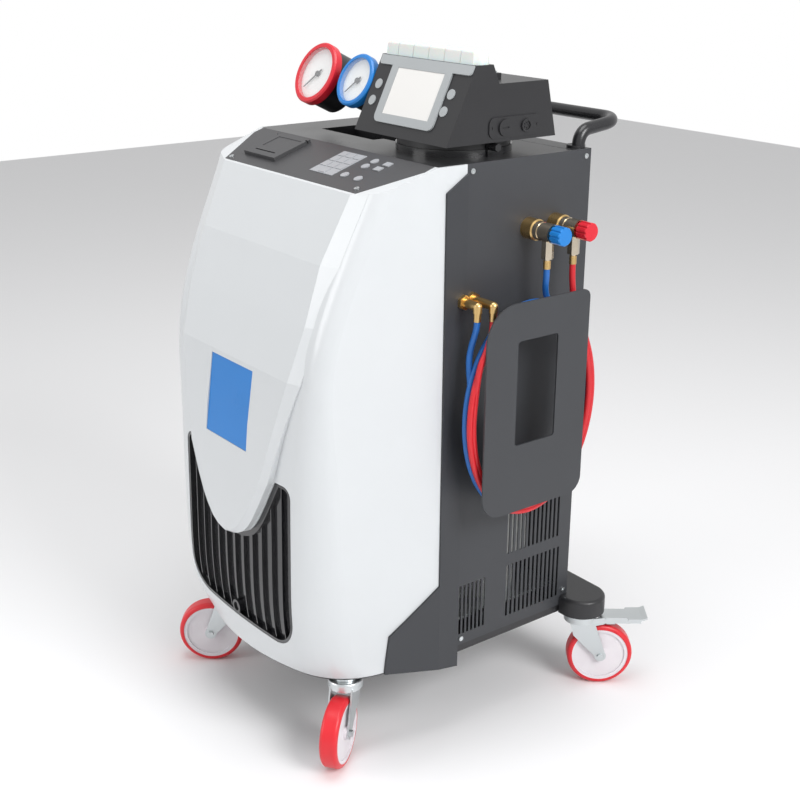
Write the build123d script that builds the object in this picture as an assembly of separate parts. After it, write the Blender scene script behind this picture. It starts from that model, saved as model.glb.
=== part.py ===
from build123d import *
import math
import os

# Air conditioning recharge station: a wheeled cabinet with a moulded front, a slanted console,
# a swivelling display head with two gauges, and two charging hoses on the right side.
# It is drawn in the cabinet's own coordinates, in millimetres: x = 0 on the cabinet's centre
# plane, the front towards -y, z = 0 on the floor. The finished pieces are then shifted so
# that the origin lies on the floor under the middle of the whole machine.
CENTRE_X = 5.85
CENTRE_Y = 278.38

# Cabinet sheet metal
SHEET = 2.0
CABINET_HALF = 260.0
PANEL_FRONT = 226.0
CABINET_REAR = 499.0
PAN_BOTTOM = 155.0
PAN_FLOOR = 3.0
PAN_HEIGHT = 30.0
PANEL_BOTTOM = 170.0
DECK_TOP = 1030.0
DECK_FRONT = 170.0
DECK_SEAM = 457.0
DECK_FLANGE = 20.0
SEAM = 1.2
SEAT = 0.3
INNER_HALF = CABINET_HALF - SHEET

# Tray pocket in the deck
TRAY_LEFT = -180.0
TRAY_RIGHT = 20.0
TRAY_FRONT = 250.0
TRAY_STEP_X = -20.0
TRAY_STEP = 22.0
TRAY_BACK = 325.0
TRAY_DEPTH = 45.0

# Vent groups of the right panel: first y, last y, bottom z, top z, number of slots
VENT_GROUPS = [
    (342.0, 469.0, 318.0, 401.0, 13),
    (343.0, 473.0, 192.0, 295.0, 13),
    (232.0, 292.0, 191.0, 287.0, 7),
]
VENT_WIDTH = 4.8

# Front shell: level z, nose y, corner x, corner y, corner radius
SHELL_LEVELS = [
    (160.0, -58.0, 225.0, -1.0, 130.0),
    (235.0, -66.0, 225.0, -51.0, 89.0),
    (330.0, -70.0, 230.0, -54.0, 77.0),
    (400.0, -69.0, 229.0, -53.0, 68.0),
    (510.0, -67.0, 228.0, -51.0, 62.0),
    (600.0, -62.0, 227.0, -49.0, 50.0),
    (700.0, -52.0, 229.0, -42.0, 36.0),
    (867.0, 0.0, 236.0, 8.0, 31.0),
    (991.0, 58.0, 243.0, 64.0, 30.0),
    (1045.0, 84.0, 246.0, 90.0, 30.0),
]
SHELL_HALF = CABINET_HALF + 2.0
SHELL_BEND_Y = 183.0
SHELL_WALL = 4.0
FRONT_REACH = 130.0

# Raised shield on the shell: level z, front y, half-width of its face, half-width of its foot,
# and how far the foot's edge stands before the shell
SHIELD_LEVELS = [
    (388.0, -84.5, 1.0, 4.0, 13.0),
    (391.0, -86.5, 4.0, 22.0, 13.0),
    (396.0, -87.5, 20.0, 37.0, 13.0),
    (405.0, -87.5, 36.0, 54.0, 13.0),
    (418.0, -87.0, 50.0, 68.0, 13.0),
    (436.0, -86.5, 64.0, 82.0, 13.0),
    (466.0, -84.0, 84.0, 100.0, 13.0),
    (516.0, -80.0, 111.0, 127.0, 12.0),
    (600.0, -72.0, 139.0, 153.0, 7.0),
    (700.0, -57.0, 168.0, 191.0, 3.0),
    (790.0, -30.0, 181.0, 210.0, 0.5),
    (884.0, 1.0, 180.0, 212.0, 0.5),
    (991.0, 52.0, 191.0, 221.0, 0.5),
    (1040.0, 76.0, 195.0, 224.0, 0.5),
]
SHIELD_SINK = 1.5

# Badge recess in the shield
BADGE_HALF = 66.0
BADGE_BOTTOM = 555.0
BADGE_TOP = 692.0
BADGE_RECESS = 4.0
BADGE_PLATE = 3.0
BADGE_GAP = 0.3

# Grille in the shell
GRILLE_HALF = 172.0
GRILLE_BOTTOM = 212.0
GRILLE_TOP = 518.0
GRILLE_FOOT_RADIUS = 60.0
GRILLE_HEAD_RADIUS = 20.0
GRILLE_RIM = 6.0
GRILLE_RIM_SINK = 1.0
GRILLE_RIB_SINK = 3.0
GRILLE_SINK = 9.0
GRILLE_PLATE = 3.0
GRILLE_RIBS = 11
GRILLE_RIB = 2.2
GRILLE_GAP = 0.3
NOTCH_GAP = 2.0
LATCH_RADIUS = 12.5
LATCH_Z = 233.0
LATCH_PROUD = 3.0
LATCH_DIMPLE = 8.0

# Dark side cheeks
CHEEK = 4.0
CHEEK_OUTLINE = [(SHELL_BEND_Y, 989.0), (PANEL_FRONT, 1016.0), (PANEL_FRONT, 133.0), (80.0, 158.0),
                 (86.0, 232.0), (SHELL_BEND_Y, 305.0)]
SHELL_BOTTOM = 160.0
CHEEK_FOOT = 120.0

# Console on a slanted plane
CONSOLE_LOW = (DECK_FRONT - 118.0, DECK_TOP - 39.0)
CONSOLE_FRONT = 57.0
CONSOLE_FRONT_HALF = 197.0
CONSOLE_SIDE_Y = 150.0
CONSOLE_HALF = CABINET_HALF - 10.0
CONSOLE_THICK = 10.0
CONSOLE_GAP = 0.3

# Printer, in the left half of the console
PRINTER_X = (-172.0, -74.0)
PRINTER_Y = (83.0, 157.0)
PRINTER_FLANGE = 2.0
PRINTER_DEPTH = 46.0
PRINTER_EDGE = 6.0
PRINTER_WALL = 2.5
DOOR_THICK = 5.0
DOOR_PIN = 1.6
DOOR_MARGIN = 9.0
DOOR_RECESS = 0.8
RUNNING = 0.05
ROLL_RADIUS = 19.0
ROLL_CORE = 7.0
ROLL_LENGTH = 57.0

# Console keys: x, y, radius
KEYPAD_X = (28.0, 92.0)
KEYPAD_Y = (85.0, 156.0)
MEMBRANE = 0.8
KEY_RISE = 1.0
KEY_COLUMNS = 3
KEY_ROWS = 4
ROUND_KEYS = [(124.0, 129.0), (125.0, 147.0), (115.0, 95.0), (153.0, 94.0)]
ROUND_KEY = 7.5
ARROW_KEYS = [(157.0, 130.0), (160.0, 147.0)]
ARROW_SIZE = (16.0, 11.0)

# Rear beam that carries the rear casters
BEAM_FRONT = 479.0
BEAM_BACK = 569.0
BEAM_HALF = CABINET_HALF + 60.0
BEAM_TOP = 190.0
BEAM_BOTTOM = 163.0
BEAM_POD_X = CABINET_HALF - 32.0
BEAM_EDGE = 7.0
BEAM_NOTCH_GAP = 1.0

# Casters: axis x, axis y, trailing angle in degrees from +x
FRONT_CASTER_X = CABINET_HALF - 64.0
FRONT_CASTER_Y = 31.0
REAR_CASTER_X = CABINET_HALF + 15.0
REAR_CASTER_Y = (BEAM_FRONT + BEAM_BACK) / 2
CASTERS = {
    "front_left": (-FRONT_CASTER_X, FRONT_CASTER_Y, -127.4),
    "front_right": (FRONT_CASTER_X, FRONT_CASTER_Y, -53.4),
    "rear_left": (-REAR_CASTER_X, REAR_CASTER_Y, 120.0),
    "rear_right": (REAR_CASTER_X, REAR_CASTER_Y, 52.6),
}
WHEEL_RADIUS = 62.5
WHEEL_WIDTH = 32.0
TYRE_DEPTH = 9.0
TYRE_ROUND = 7.0
HUB_RIM = 6.0
HUB_WEB = 25.0
HUB_BOSS = 12.0
TRAIL = 40.0
AXLE_RADIUS = 4.0
AXLE_HEAD = 6.5
AXLE_HEAD_LENGTH = 4.5
FORK_GAP = 0.3
FORK_SHEET = 3.0
BOSS_HALF = 18.0
LEG_WIDTH = 11.0
STEM_RADIUS = 6.0
RACE_RADIUS = 22.0
RACE_THICK = 5.0
CROWN_RADIUS = 31.0
CROWN_BOTTOM = 134.0
STEM_HEAD_RADIUS = 11.0
STEM_HEAD = 6.0

# Brake pedals of the rear casters
PEDAL_PIVOT = (40.0, 138.0)
PEDAL_PIN = 2.5
PEDAL_TUBE = 6.0
PEDAL_TIP = 125.0
PEDAL_SHEET = 4.0
PEDAL_RISE = 4.0
PEDAL_WING = 6.0
EAR_RADIUS = 7.0
SHOE = (50.0, 66.0, 127.5)

# Push handle
HANDLE_RADIUS = 11.0
HANDLE_BORE = 9.0
HANDLE_X = CABINET_HALF - 14.0
HANDLE_Y = 482.0
HANDLE_RISE = DECK_TOP + 28.0
HANDLE_BAR_Y = 582.0
HANDLE_BAR_Z = DECK_TOP + 40.0
HANDLE_BEND = 42.0
HANDLE_KNEE = 24.0
HANDLE_FOOT = 16.0
HANDLE_FOOT_THICK = 5.0
HANDLE_FOOT_X = HANDLE_X - 6.0

# Turntable and its lock knob
TURN_X = 125.0
TURN_Y = 310.0
TURN_BASE_RADIUS = 97.5
TURN_BASE_TOP = DECK_TOP + 11.0
TURN_RING_RADIUS = 95.0
TURN_GAP = 0.3
TURN_SPIGOT = 30.0
LOCK_Y = 305.0
LOCK_Z = DECK_TOP + 16.0
LOCK_SHAFT = 3.0
LOCK_KNOB = 6.5
LOCK_LENGTH = 17.0
LOCK_BOSS = 6.0
LOCK_BOSS_HALF = 7.0

# Display head, its side profile as (y, z)
HEAD_BOTTOM = DECK_TOP + 26.0
HEAD_HALF = 122.0
HEAD_LEFT = TURN_X - HEAD_HALF
HEAD_RIGHT = TURN_X + HEAD_HALF
HEAD_NOSE = (194.0, HEAD_BOTTOM)
HEAD_BROW = (253.0, HEAD_BOTTOM + 121.0)
HEAD_RIDGE = 287.0
HEAD_STEP = (300.0, HEAD_BOTTOM + 91.0)
HEAD_BACK = 405.0
HEAD_HEEL = 426.0
HEAD_WALL = 3.0
HEAD_HOLE = 40.0
LIGHT_RISE = 21.0
LIGHT_TAPER = 8.0
LIGHT_ROUND = 4.0
LIGHT_MARGIN = 2.0
LIGHT_SEGMENTS = 6
LIGHT_GROOVE = 1.4
LIGHT_CHAMFER = 9.0
PAD_X = (60.0, 200.0)
PAD_Y = (304.0, 345.0)
PAD_RISE = 10.0
PAD_LID = 3.0
PAD_INSET = 5.0

# Fascia and screen, measured up the front face from the nose
FASCIA = 3.0
FASCIA_X = (45.0, 200.0)
FASCIA_S = (20.0, 117.0)
FASCIA_BAND_X = (8.0, 244.0)
FASCIA_BAND_TOP = 133.0
FASCIA_CORNER = 12.0
FASCIA_BAND_CORNER = 6.0
SCREEN_X = (63.0, 183.0)
SCREEN_S = (35.0, 114.0)
SCREEN_GAP = 0.2
SCREEN_THICK = 2.4
FACE_BUTTONS = [(24.0, 83.0), (22.0, 54.0), (213.0, 84.0), (210.0, 55.0)]
FACE_BUTTON = 8.5
FACE_BUTTON_RISE = 1.5

# Port plate on the head's right side
PORT_PLATE_Y = (280.0, 391.0)
PORT_PLATE_Z = (HEAD_BOTTOM + 6.0, HEAD_BOTTOM + 39.0)
PORT_PLATE = 2.0
PORT_PLATE_CORNER = 11.0
CARD_COVER = (312.0, 13.0)
CARD_SLOT = (15.0, 2.6, 1.2)
DATA_PORT = (358.0, 10.5)
PORT_RISE = 3.0
PORT_PINS = 5
PORT_SCREWS = (288.0, 383.0)
PORT_SCREW = (2.2, 0.8)

# Gauges: centre x, centre y, centre z, outer radius, inner radius
GAUGES = {
    "high": (-165.0, 227.0, HEAD_BOTTOM + 77.0, 56.0, 47.0),
    "low": (-44.0, 227.0, HEAD_BOTTOM + 76.0, 46.5, 39.0),
}
GAUGE_BEZEL = 15.0
GAUGE_DEPTH = 62.0
GAUGE_CUP_INSET = 5.0
GAUGE_CUP_WALL = 3.0
GAUGE_LENS = (2.0, 4.0)
GAUGE_DIAL = (10.0, 12.0)
GAUGE_FIT = 0.2
NEEDLE_HUB = 5.0
NEEDLE_DEPTH = (6.0, 7.5)
NEEDLE_TIP = 0.82
NEEDLE_TAIL = 0.25
NEEDLE_WIDTH = 3.0
NEEDLE_PIN = 1.5
NEEDLE_REST = 225.0
BRACKET = 5.0
BRACKET_HALF = 18.0

# Service ports and couplers on the right side
PORT_Z = 912.0
PORT_Y = {"low": 362.0, "high": 421.0}
PORT_RADIUS = 18.0
PORT_FACE = CABINET_HALF + 25.0
PORT_NIPPLE = 8.0
PORT_NIPPLE_LENGTH = 12.0
COUPLER_END = PORT_FACE + 37.0
COUPLER_RADIUS = 15.75
COUPLER_GRIP = 14.6
COUPLER_BORE = 8.3
COUPLER_SEAT = PORT_FACE + 15.0
SPINDLE_RADIUS = 5.0
SPINDLE_END = COUPLER_END + 18.0
KNOB_START = COUPLER_END + 4.0
KNOB_END = KNOB_START + 22.0
KNOB_RADIUS = 15.5
KNOB_FLUTES = 10
KNOB_FLUTE = 2.2
DROP_X = PORT_FACE + 23.0
HEX_FLATS = 18.0
HEX_TOP = PORT_Z - 16.0
HEX_BOTTOM = PORT_Z - 43.0
NECK_RADIUS = 5.0
FERRULE_TOP = HEX_BOTTOM - 3.0
FERRULE_LENGTH = 14.0
FERRULE_RADIUS = 6.25
HOSE_RADIUS = 5.3
MOUTH_RADIUS = 9.0

# Hose holder plate, standing off the panel
HOLDER_X = CABINET_HALF + 72.0
HOLDER_SHEET = 3.0
HOLDER_Y = (214.0, 440.0)
HOLDER_Z = (445.0, 813.0)
HOLDER_CORNERS = (40.0, 30.0, 15.0, 62.0)
WINDOW_Y = (281.0, 370.0)
WINDOW_Z = (566.0, 748.0)
WINDOW_RADIUS = 6.0
SPACER_RADIUS = 8.0
SPACERS = [(302.0, 770.0), (372.0, 770.0), (302.0, 500.0), (372.0, 500.0)]

# Hose coils: the outer shape of two turns each
COIL_Y = 337.0
COIL_Z = 615.0
COIL_HALF_Y = 147.0
COIL_HALF_Z = 195.0
COIL_BAND = 22.5
COIL_WIDTH = 11.5
COIL_X = {"low": CABINET_HALF + 41.75, "high": CABINET_HALF + 53.75}
TAIL_Y = {"low": 220.0, "high": 243.0}
TAIL_TOP = 785.0
ELBOW_RADIUS = 7.5
ELBOW_NUT = 11.0
ELBOW_NUT_THICK = 7.0
HOSE_TOP = FERRULE_TOP - FERRULE_LENGTH
DROP_ROUTE = {
    "low": [(DROP_X, 362.0, HOSE_TOP), (DROP_X, 362.0, 836.5), (DROP_X - 3.8, 362.0, 820.5),
            (DROP_X - 6.4, 362.0, 805.0)],
    "high": [(DROP_X, 421.0, HOSE_TOP), (DROP_X, 421.0, 834.0), (DROP_X + 2.6, 421.0, 814.0),
             (DROP_X + 4.9, 420.6, 794.0), (DROP_X + 5.8, 420.0, 773.0)],
}

# Inner parts: the weighed refrigerant tank
TANK_X = INNER_HALF - 140.0
TANK_Y = 366.0
TANK_RADIUS = 115.0
TANK_DOME = 60.0
TANK_TOP = 690.0
TANK_FOOT = 90.0
TANK_WALL = 3.0
TANK_LIFT = 18.0
SCALE_HALF = 118.0
SCALE_PLATE = 5.0
SCALE_HEIGHT = 50.0
LOAD_CELL = (130.0, 30.0, 34.0)

# Compressor, vacuum pump, oil bottles
COMPRESSOR = (-130.0, 370.0)
COMPRESSOR_RADIUS = 72.0
COMPRESSOR_TOP = 372.0
COMPRESSOR_WALL = 7.0
PUMP = (-120.0, 190.0)
PUMP_RADIUS = 52.0
PUMP_LENGTH = 190.0
BOTTLE_RADIUS = 32.0
BOTTLE_HEIGHT = 130.0
BOTTLES = 3
SHELF_Z = 640.0
SHELF_DEPTH = 90.0

# Valve manifold behind the service ports
MANIFOLD_Y = (330.0, 455.0)
MANIFOLD_Z = (885.0, 935.0)
MANIFOLD_DEPTH = 46.0
SOLENOID = 13.0
SOLENOID_HEIGHT = 42.0

# Power inlet and rocker on the rear panel
INLET_X = -150.0
INLET_Z = 250.0
INLET_HALF = 25.0
INLET_PROUD = 3.0
INLET_DEPTH = 24.0
ROCKER_Z = 285.0
ROCKER_HALF = (10.0, 13.0)
ROCKER_PIN = 1.5

SCREW_RADIUS = 4.5
SCREW_HEAD = 2.0
SCREW_DRIVE = 1.6
LOW_END = (Align.CENTER, Align.CENTER, Align.MIN)


def box(x0, x1, y0, y1, z0, z1):
    """A box between two corners."""
    centre = Pos((x0 + x1) / 2, (y0 + y1) / 2, (z0 + z1) / 2)
    return centre * Box(x1 - x0, y1 - y0, z1 - z0)


def rod(start, direction, length, radius):
    """A cylinder from a start point along a direction."""
    plane = Plane(origin=start, z_dir=direction)
    return plane.location * Cylinder(radius, length, align=LOW_END)


def both_sides(piece):
    """A piece and its mirror image across the cabinet's centre plane."""
    return [piece, mirror(piece, about=Plane.YZ)]


def at_level(levels, z):
    """The values of a level table at a height, in a straight line between two levels."""
    for low, high in zip(levels, levels[1:]):
        if z <= high[0]:
            break
    share = (z - low[0]) / (high[0] - low[0])
    return [a + (b - a) * share for a, b in zip(low, high)]


# Front shell

def shell_section(z, nose, corner_x, corner_y, radius, grow):
    """One horizontal section of the shell: a curved front, two round corners, straight sides."""
    half = SHELL_HALF + grow
    left = (-corner_x - grow, corner_y - grow)
    right = (corner_x + grow, corner_y - grow)
    front = ThreePointArc(left, (0, nose - grow), right)
    rest = Polyline(right, (half, SHELL_BEND_Y), (half, PANEL_FRONT), (-half, PANEL_FRONT),
                    (-half, SHELL_BEND_Y), left)
    face = make_face([front, rest])
    corners = [v for v in face.vertices() if v.Y < corner_y - grow + 1 and v.Y > corner_y - grow - 1]
    return Pos(0, 0, z) * fillet(corners, radius + grow)


def hull(grow):
    """The shell's full outer form, grown or shrunk by an even amount."""
    return loft([shell_section(*level, grow) for level in SHELL_LEVELS])


def shell_front(x, z):
    """The y of the shell's front at a point of its middle stretch."""
    level = at_level(SHELL_LEVELS, z)
    return level[1] + (level[3] - level[1]) * (x / level[2]) ** 2


def shield():
    """The raised shield: a face that is flat across, a sloped border, and an edge that stands off the shell."""
    sections = []
    for z, front, face_half, foot_half, proud in SHIELD_LEVELS:
        back = shell_front(foot_half, z) + SHIELD_SINK
        foot = back - SHIELD_SINK - proud
        outline = Polyline((-foot_half, back), (-foot_half, foot), (-face_half, front), (face_half, front),
                           (foot_half, foot), (foot_half, back), close=True)
        sections.append(Pos(0, 0, z) * make_face(outline))
    return loft(sections, ruled=True)


CONSOLE_SLOPE = math.atan2(DECK_TOP - CONSOLE_LOW[1], DECK_FRONT - CONSOLE_LOW[0])
CONSOLE_PLANE = Plane(origin=(0, *CONSOLE_LOW), x_dir=(1, 0, 0),
                      z_dir=(0, -math.sin(CONSOLE_SLOPE), math.cos(CONSOLE_SLOPE)))


def up_console(y):
    """The distance up the console plane at a given y."""
    return (y - CONSOLE_LOW[0]) / math.cos(CONSOLE_SLOPE)


def on_console(x0, x1, y0, y1, low, high):
    """A block that stands square on the console plane, from one height to another."""
    return CONSOLE_PLANE.location * box(x0, x1, up_console(y0), up_console(y1), low, high)


def button(x, y, radius, low, high):
    """A disc that lies on the console plane."""
    return CONSOLE_PLANE.location * Pos(x, up_console(y), low) * Cylinder(radius, high - low, align=LOW_END)


def under_console(depth):
    """Everything under the console plane, down from a given depth."""
    reach = 2 * DECK_TOP
    return CONSOLE_PLANE.location * Pos(0, 0, -depth - reach / 2) * Box(reach, reach, reach)


def console_block(gap):
    """The console's outline as a block, with a gap around it."""
    outline = Polyline(
        (-CONSOLE_FRONT_HALF - gap, up_console(CONSOLE_FRONT) - gap),
        (CONSOLE_FRONT_HALF + gap, up_console(CONSOLE_FRONT) - gap),
        (CONSOLE_HALF + gap, up_console(CONSOLE_SIDE_Y)),
        (CONSOLE_HALF + gap, up_console(DECK_FRONT)),
        (-CONSOLE_HALF - gap, up_console(DECK_FRONT)),
        (-CONSOLE_HALF - gap, up_console(CONSOLE_SIDE_Y)),
        close=True)
    block = extrude(make_face(outline), CONSOLE_THICK + gap)
    return CONSOLE_PLANE.location * Pos(0, 0, -CONSOLE_THICK - gap) * block


def printer_hole(gap):
    """The hole in console and shell that the printer hangs in."""
    return on_console(PRINTER_X[0] + PRINTER_EDGE - gap, PRINTER_X[1] - PRINTER_EDGE + gap,
                      PRINTER_Y[0] + PRINTER_EDGE - gap, PRINTER_Y[1] - PRINTER_EDGE + gap,
                      -PRINTER_DEPTH, PRINTER_DEPTH)


def grille_region(inset):
    """The grille's outline seen from the front: a round-cornered field, notched by the shield."""
    height = GRILLE_TOP - GRILLE_BOTTOM
    field = Rectangle(2 * (GRILLE_HALF - inset), height - 2 * inset)
    field = fillet(field.vertices().group_by(Axis.Y)[0], GRILLE_FOOT_RADIUS - inset)
    field = fillet(field.vertices().group_by(Axis.Y)[-1], GRILLE_HEAD_RADIUS - inset)
    right = [(level[3] + NOTCH_GAP + 1.5 * inset, level[0] - inset)
             for level in SHIELD_LEVELS if level[0] < BADGE_TOP]
    left = [(-x, z) for x, z in reversed(right)]
    notch = make_face(Polyline(*right, *left, close=True))
    region = Pos(0, (GRILLE_TOP + GRILLE_BOTTOM) / 2) * field - notch
    return extrude(Plane.XZ * region, FRONT_REACH)


def latch(radius, proud):
    """The round latch at the foot of the grille."""
    front = shell_front(0, LATCH_Z) - proud
    return rod((0, front, LATCH_Z), (0, 1, 0), GRILLE_SINK + proud, radius)


def front_shell(outer, inner):
    badge = badge_block(BADGE_GAP, BADGE_RECESS)
    shell = outer + shield() - (inner & under_console(CONSOLE_THICK + SHELL_WALL))
    shell = shell & under_console(0)
    shell -= console_block(CONSOLE_GAP)
    shell -= box(-INNER_HALF, INNER_HALF, DECK_FRONT, PANEL_FRONT + 1, DECK_TOP - CONSOLE_THICK - 20, 1100)
    shell -= box(-400, 400, DECK_FRONT, PANEL_FRONT + 1, DECK_TOP, 1100)
    shell -= printer_hole(CONSOLE_GAP)
    shell -= grille_region(0)
    shell -= latch(LATCH_RADIUS + GRILLE_GAP, GRILLE_SINK)
    shell -= badge
    return shell


BADGE_LOW_Y = at_level(SHIELD_LEVELS, BADGE_BOTTOM)[1]
BADGE_HIGH_Y = at_level(SHIELD_LEVELS, BADGE_TOP)[1]
BADGE_TILT = math.atan2(BADGE_HIGH_Y - BADGE_LOW_Y, BADGE_TOP - BADGE_BOTTOM)
BADGE_PLANE = Plane(origin=(0, (BADGE_LOW_Y + BADGE_HIGH_Y) / 2, (BADGE_BOTTOM + BADGE_TOP) / 2),
                    x_dir=(1, 0, 0), z_dir=(0, -math.cos(BADGE_TILT), math.sin(BADGE_TILT)))


def badge_block(gap, depth):
    """The badge's recess, or its plate, square to the shield's face."""
    height = (BADGE_TOP - BADGE_BOTTOM) / math.cos(BADGE_TILT)
    block = Box(2 * (BADGE_HALF + gap), height + 2 * gap, depth, align=LOW_END)
    return BADGE_PLANE.location * Pos(0, 0, -depth) * block + BADGE_PLANE.location * Box(
        2 * (BADGE_HALF + gap), height + 2 * gap, GRILLE_SINK, align=LOW_END)


def badge_plate():
    height = (BADGE_TOP - BADGE_BOTTOM) / math.cos(BADGE_TILT)
    plate = Box(2 * BADGE_HALF, height, BADGE_PLATE, align=LOW_END)
    return BADGE_PLANE.location * Pos(0, 0, -BADGE_RECESS) * plate


def front_grille():
    rim = hull(-GRILLE_RIM_SINK) & (grille_region(GRILLE_GAP) - grille_region(GRILLE_RIM))
    pitch = 2 * GRILLE_HALF / (GRILLE_RIBS + 1)
    ribs = [Pos((i - (GRILLE_RIBS - 1) / 2) * pitch, 0, DECK_TOP / 2) * Box(GRILLE_RIB, FRONT_REACH * 2, DECK_TOP)
            for i in range(GRILLE_RIBS)]
    bars = hull(-GRILLE_RIB_SINK) & (grille_region(GRILLE_GAP) & Part(ribs))
    plate = hull(-GRILLE_SINK) & grille_region(GRILLE_GAP)
    back = hull(-GRILLE_SINK - GRILLE_PLATE)
    grille = rim + bars + plate
    grille += latch(LATCH_RADIUS, LATCH_PROUD)
    grille -= latch(LATCH_DIMPLE, LATCH_PROUD) & Pos(0, -GRILLE_SINK, 0) * latch(LATCH_RADIUS, LATCH_PROUD)
    return grille - back


def side_cheeks(outer):
    region = extrude(Plane.YZ * make_face(Polyline(*CHEEK_OUTLINE, close=True)), SHELL_HALF + 2 * CHEEK)
    skirt = extrude(shell_section(CHEEK_FOOT, *SHELL_LEVELS[0][1:], CHEEK), SHELL_BOTTOM - CHEEK_FOOT)
    core = extrude(shell_section(CHEEK_FOOT, *SHELL_LEVELS[0][1:], 0), SHELL_BOTTOM - CHEEK_FOOT)
    return both_sides((hull(CHEEK) + skirt - outer - core) & region)


# Sheet metal

def pan_outline(inset, rear):
    """The base pan's outline: the shell's foot in front, a rectangle behind."""
    front = Pos(0, 0, -SHELL_LEVELS[0][0]) * shell_section(*SHELL_LEVELS[0], -SHELL_WALL - inset)
    half = INNER_HALF - inset
    back = Pos(0, (PANEL_FRONT - 1 + rear) / 2) * Rectangle(2 * half, rear - PANEL_FRONT + 1)
    return front + back


def base_pan():
    rear = CABINET_REAR - SHEET
    outside = extrude(pan_outline(SEAT, rear), PAN_HEIGHT)
    inside = extrude(pan_outline(SEAT + SHEET, rear - SHEET), PAN_HEIGHT)
    return Pos(0, 0, PAN_BOTTOM) * (outside - Pos(0, 0, PAN_FLOOR) * inside)


def side_panel():
    return box(INNER_HALF, CABINET_HALF, PANEL_FRONT, CABINET_REAR, PANEL_BOTTOM, DECK_TOP)


def vented_panel():
    """The right panel, with its three groups of upright slots."""
    slots = []
    for first, last, low, high, count in VENT_GROUPS:
        pitch = (last - first - VENT_WIDTH) / (count - 1)
        for i in range(count):
            y = first + i * pitch
            slots.append(box(INNER_HALF - 1, CABINET_HALF + 1, y, y + VENT_WIDTH, low, high))
    return side_panel() - slots


def rear_panel():
    panel = box(-INNER_HALF, INNER_HALF, CABINET_REAR - SHEET, CABINET_REAR, PAN_BOTTOM, DECK_TOP - SHEET)
    hole = box(INLET_X - INLET_HALF + 4, INLET_X + INLET_HALF - 4, CABINET_REAR - 2 * SHEET, CABINET_REAR + SHEET,
               INLET_Z - INLET_HALF + 4, ROCKER_Z + ROCKER_HALF[1] + 2)
    return panel - hole


def tray(inset, depth):
    """The tray pocket's plan, with its stepped front edge, as a block below the deck."""
    outline = Polyline(
        (TRAY_LEFT + inset, TRAY_FRONT + inset), (TRAY_STEP_X + inset, TRAY_FRONT + inset),
        (TRAY_STEP_X + inset, TRAY_FRONT + TRAY_STEP + inset), (TRAY_RIGHT - inset, TRAY_FRONT + TRAY_STEP + inset),
        (TRAY_RIGHT - inset, TRAY_BACK - inset), (TRAY_LEFT + inset, TRAY_BACK - inset), close=True)
    return Pos(0, 0, DECK_TOP - depth) * extrude(make_face(outline), depth)


def top_deck():
    deck = box(-INNER_HALF, INNER_HALF, DECK_FRONT, CABINET_REAR, DECK_TOP - SHEET, DECK_TOP)
    flange = box(INNER_HALF - SHEET, INNER_HALF, PANEL_FRONT + SHEET, CABINET_REAR - SHEET,
                 DECK_TOP - DECK_FLANGE, DECK_TOP - SHEET)
    deck += both_sides(flange)
    deck += tray(-SHEET, TRAY_DEPTH + SHEET)
    deck -= tray(0, TRAY_DEPTH)
    seam = box(-INNER_HALF, INNER_HALF, DECK_SEAM, DECK_SEAM + SEAM, DECK_TOP - SEAM, DECK_TOP)
    return deck - seam


def rear_beam():
    length = 2 * BEAM_HALF
    plan = Pos(0, (BEAM_FRONT + BEAM_BACK) / 2) * SlotOverall(length, BEAM_BACK - BEAM_FRONT)
    beam = Pos(0, 0, PAN_BOTTOM) * extrude(plan, BEAM_TOP - PAN_BOTTOM)
    beam = fillet(beam.edges().group_by(Axis.Z)[-1], BEAM_EDGE)
    notch = CABINET_HALF + BEAM_NOTCH_GAP
    beam -= box(-notch, notch, BEAM_FRONT - 1, CABINET_REAR, 0, DECK_TOP)
    return beam - box(-BEAM_POD_X, BEAM_POD_X, 0, BEAM_BACK + 1, 0, BEAM_BOTTOM)


# Console

def control_console():
    ahead = box(-CABINET_HALF, CABINET_HALF, 0, DECK_FRONT, 0, 2 * DECK_TOP)
    return (console_block(0) & ahead) - printer_hole(0)


def console_screws():
    return [screw(CONSOLE_PLANE.location * Pos(x, up_console(y), 0)) for x, y in [(-189.0, 66.0), (184.0, 69.0)]]


def screw(location):
    """A low round screw head with a hexagon drive."""
    head = Cylinder(SCREW_RADIUS, SCREW_HEAD, align=LOW_END)
    drive = Pos(0, 0, SCREW_HEAD / 2) * extrude(RegularPolygon(SCREW_DRIVE, 6), SCREW_HEAD)
    return location * (head - drive)


def keypad():
    """Flush membrane keys: a block of ten, four round ones and two arrow keys."""
    pieces = [on_console(*KEYPAD_X, *KEYPAD_Y, 0, MEMBRANE)]
    pitch_x = (KEYPAD_X[1] - KEYPAD_X[0]) / KEY_COLUMNS
    pitch_y = (KEYPAD_Y[1] - KEYPAD_Y[0]) / KEY_ROWS
    block = pieces[0]
    for row in range(KEY_ROWS):
        columns = range(KEY_COLUMNS) if row else [1]
        for column in columns:
            x = KEYPAD_X[0] + (column + 0.5) * pitch_x
            y = KEYPAD_Y[0] + (row + 0.5) * pitch_y
            block += on_console(x - pitch_x / 2 + 2, x + pitch_x / 2 - 2, y - pitch_y / 2 + 2, y + pitch_y / 2 - 2,
                                0, MEMBRANE + KEY_RISE)
    pieces = [block]
    pieces += [button(x, y, ROUND_KEY, 0, MEMBRANE + KEY_RISE) for x, y in ROUND_KEYS]
    for x, y in ARROW_KEYS:
        pieces.append(on_console(x - ARROW_SIZE[0] / 2, x + ARROW_SIZE[0] / 2, y - ARROW_SIZE[1] / 2,
                                 y + ARROW_SIZE[1] / 2, 0, MEMBRANE + KEY_RISE))
    return pieces


PIN_HEIGHT = PRINTER_FLANGE + DOOR_THICK / 2
HINGE_Y = PRINTER_Y[1] - DOOR_THICK / 2


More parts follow.
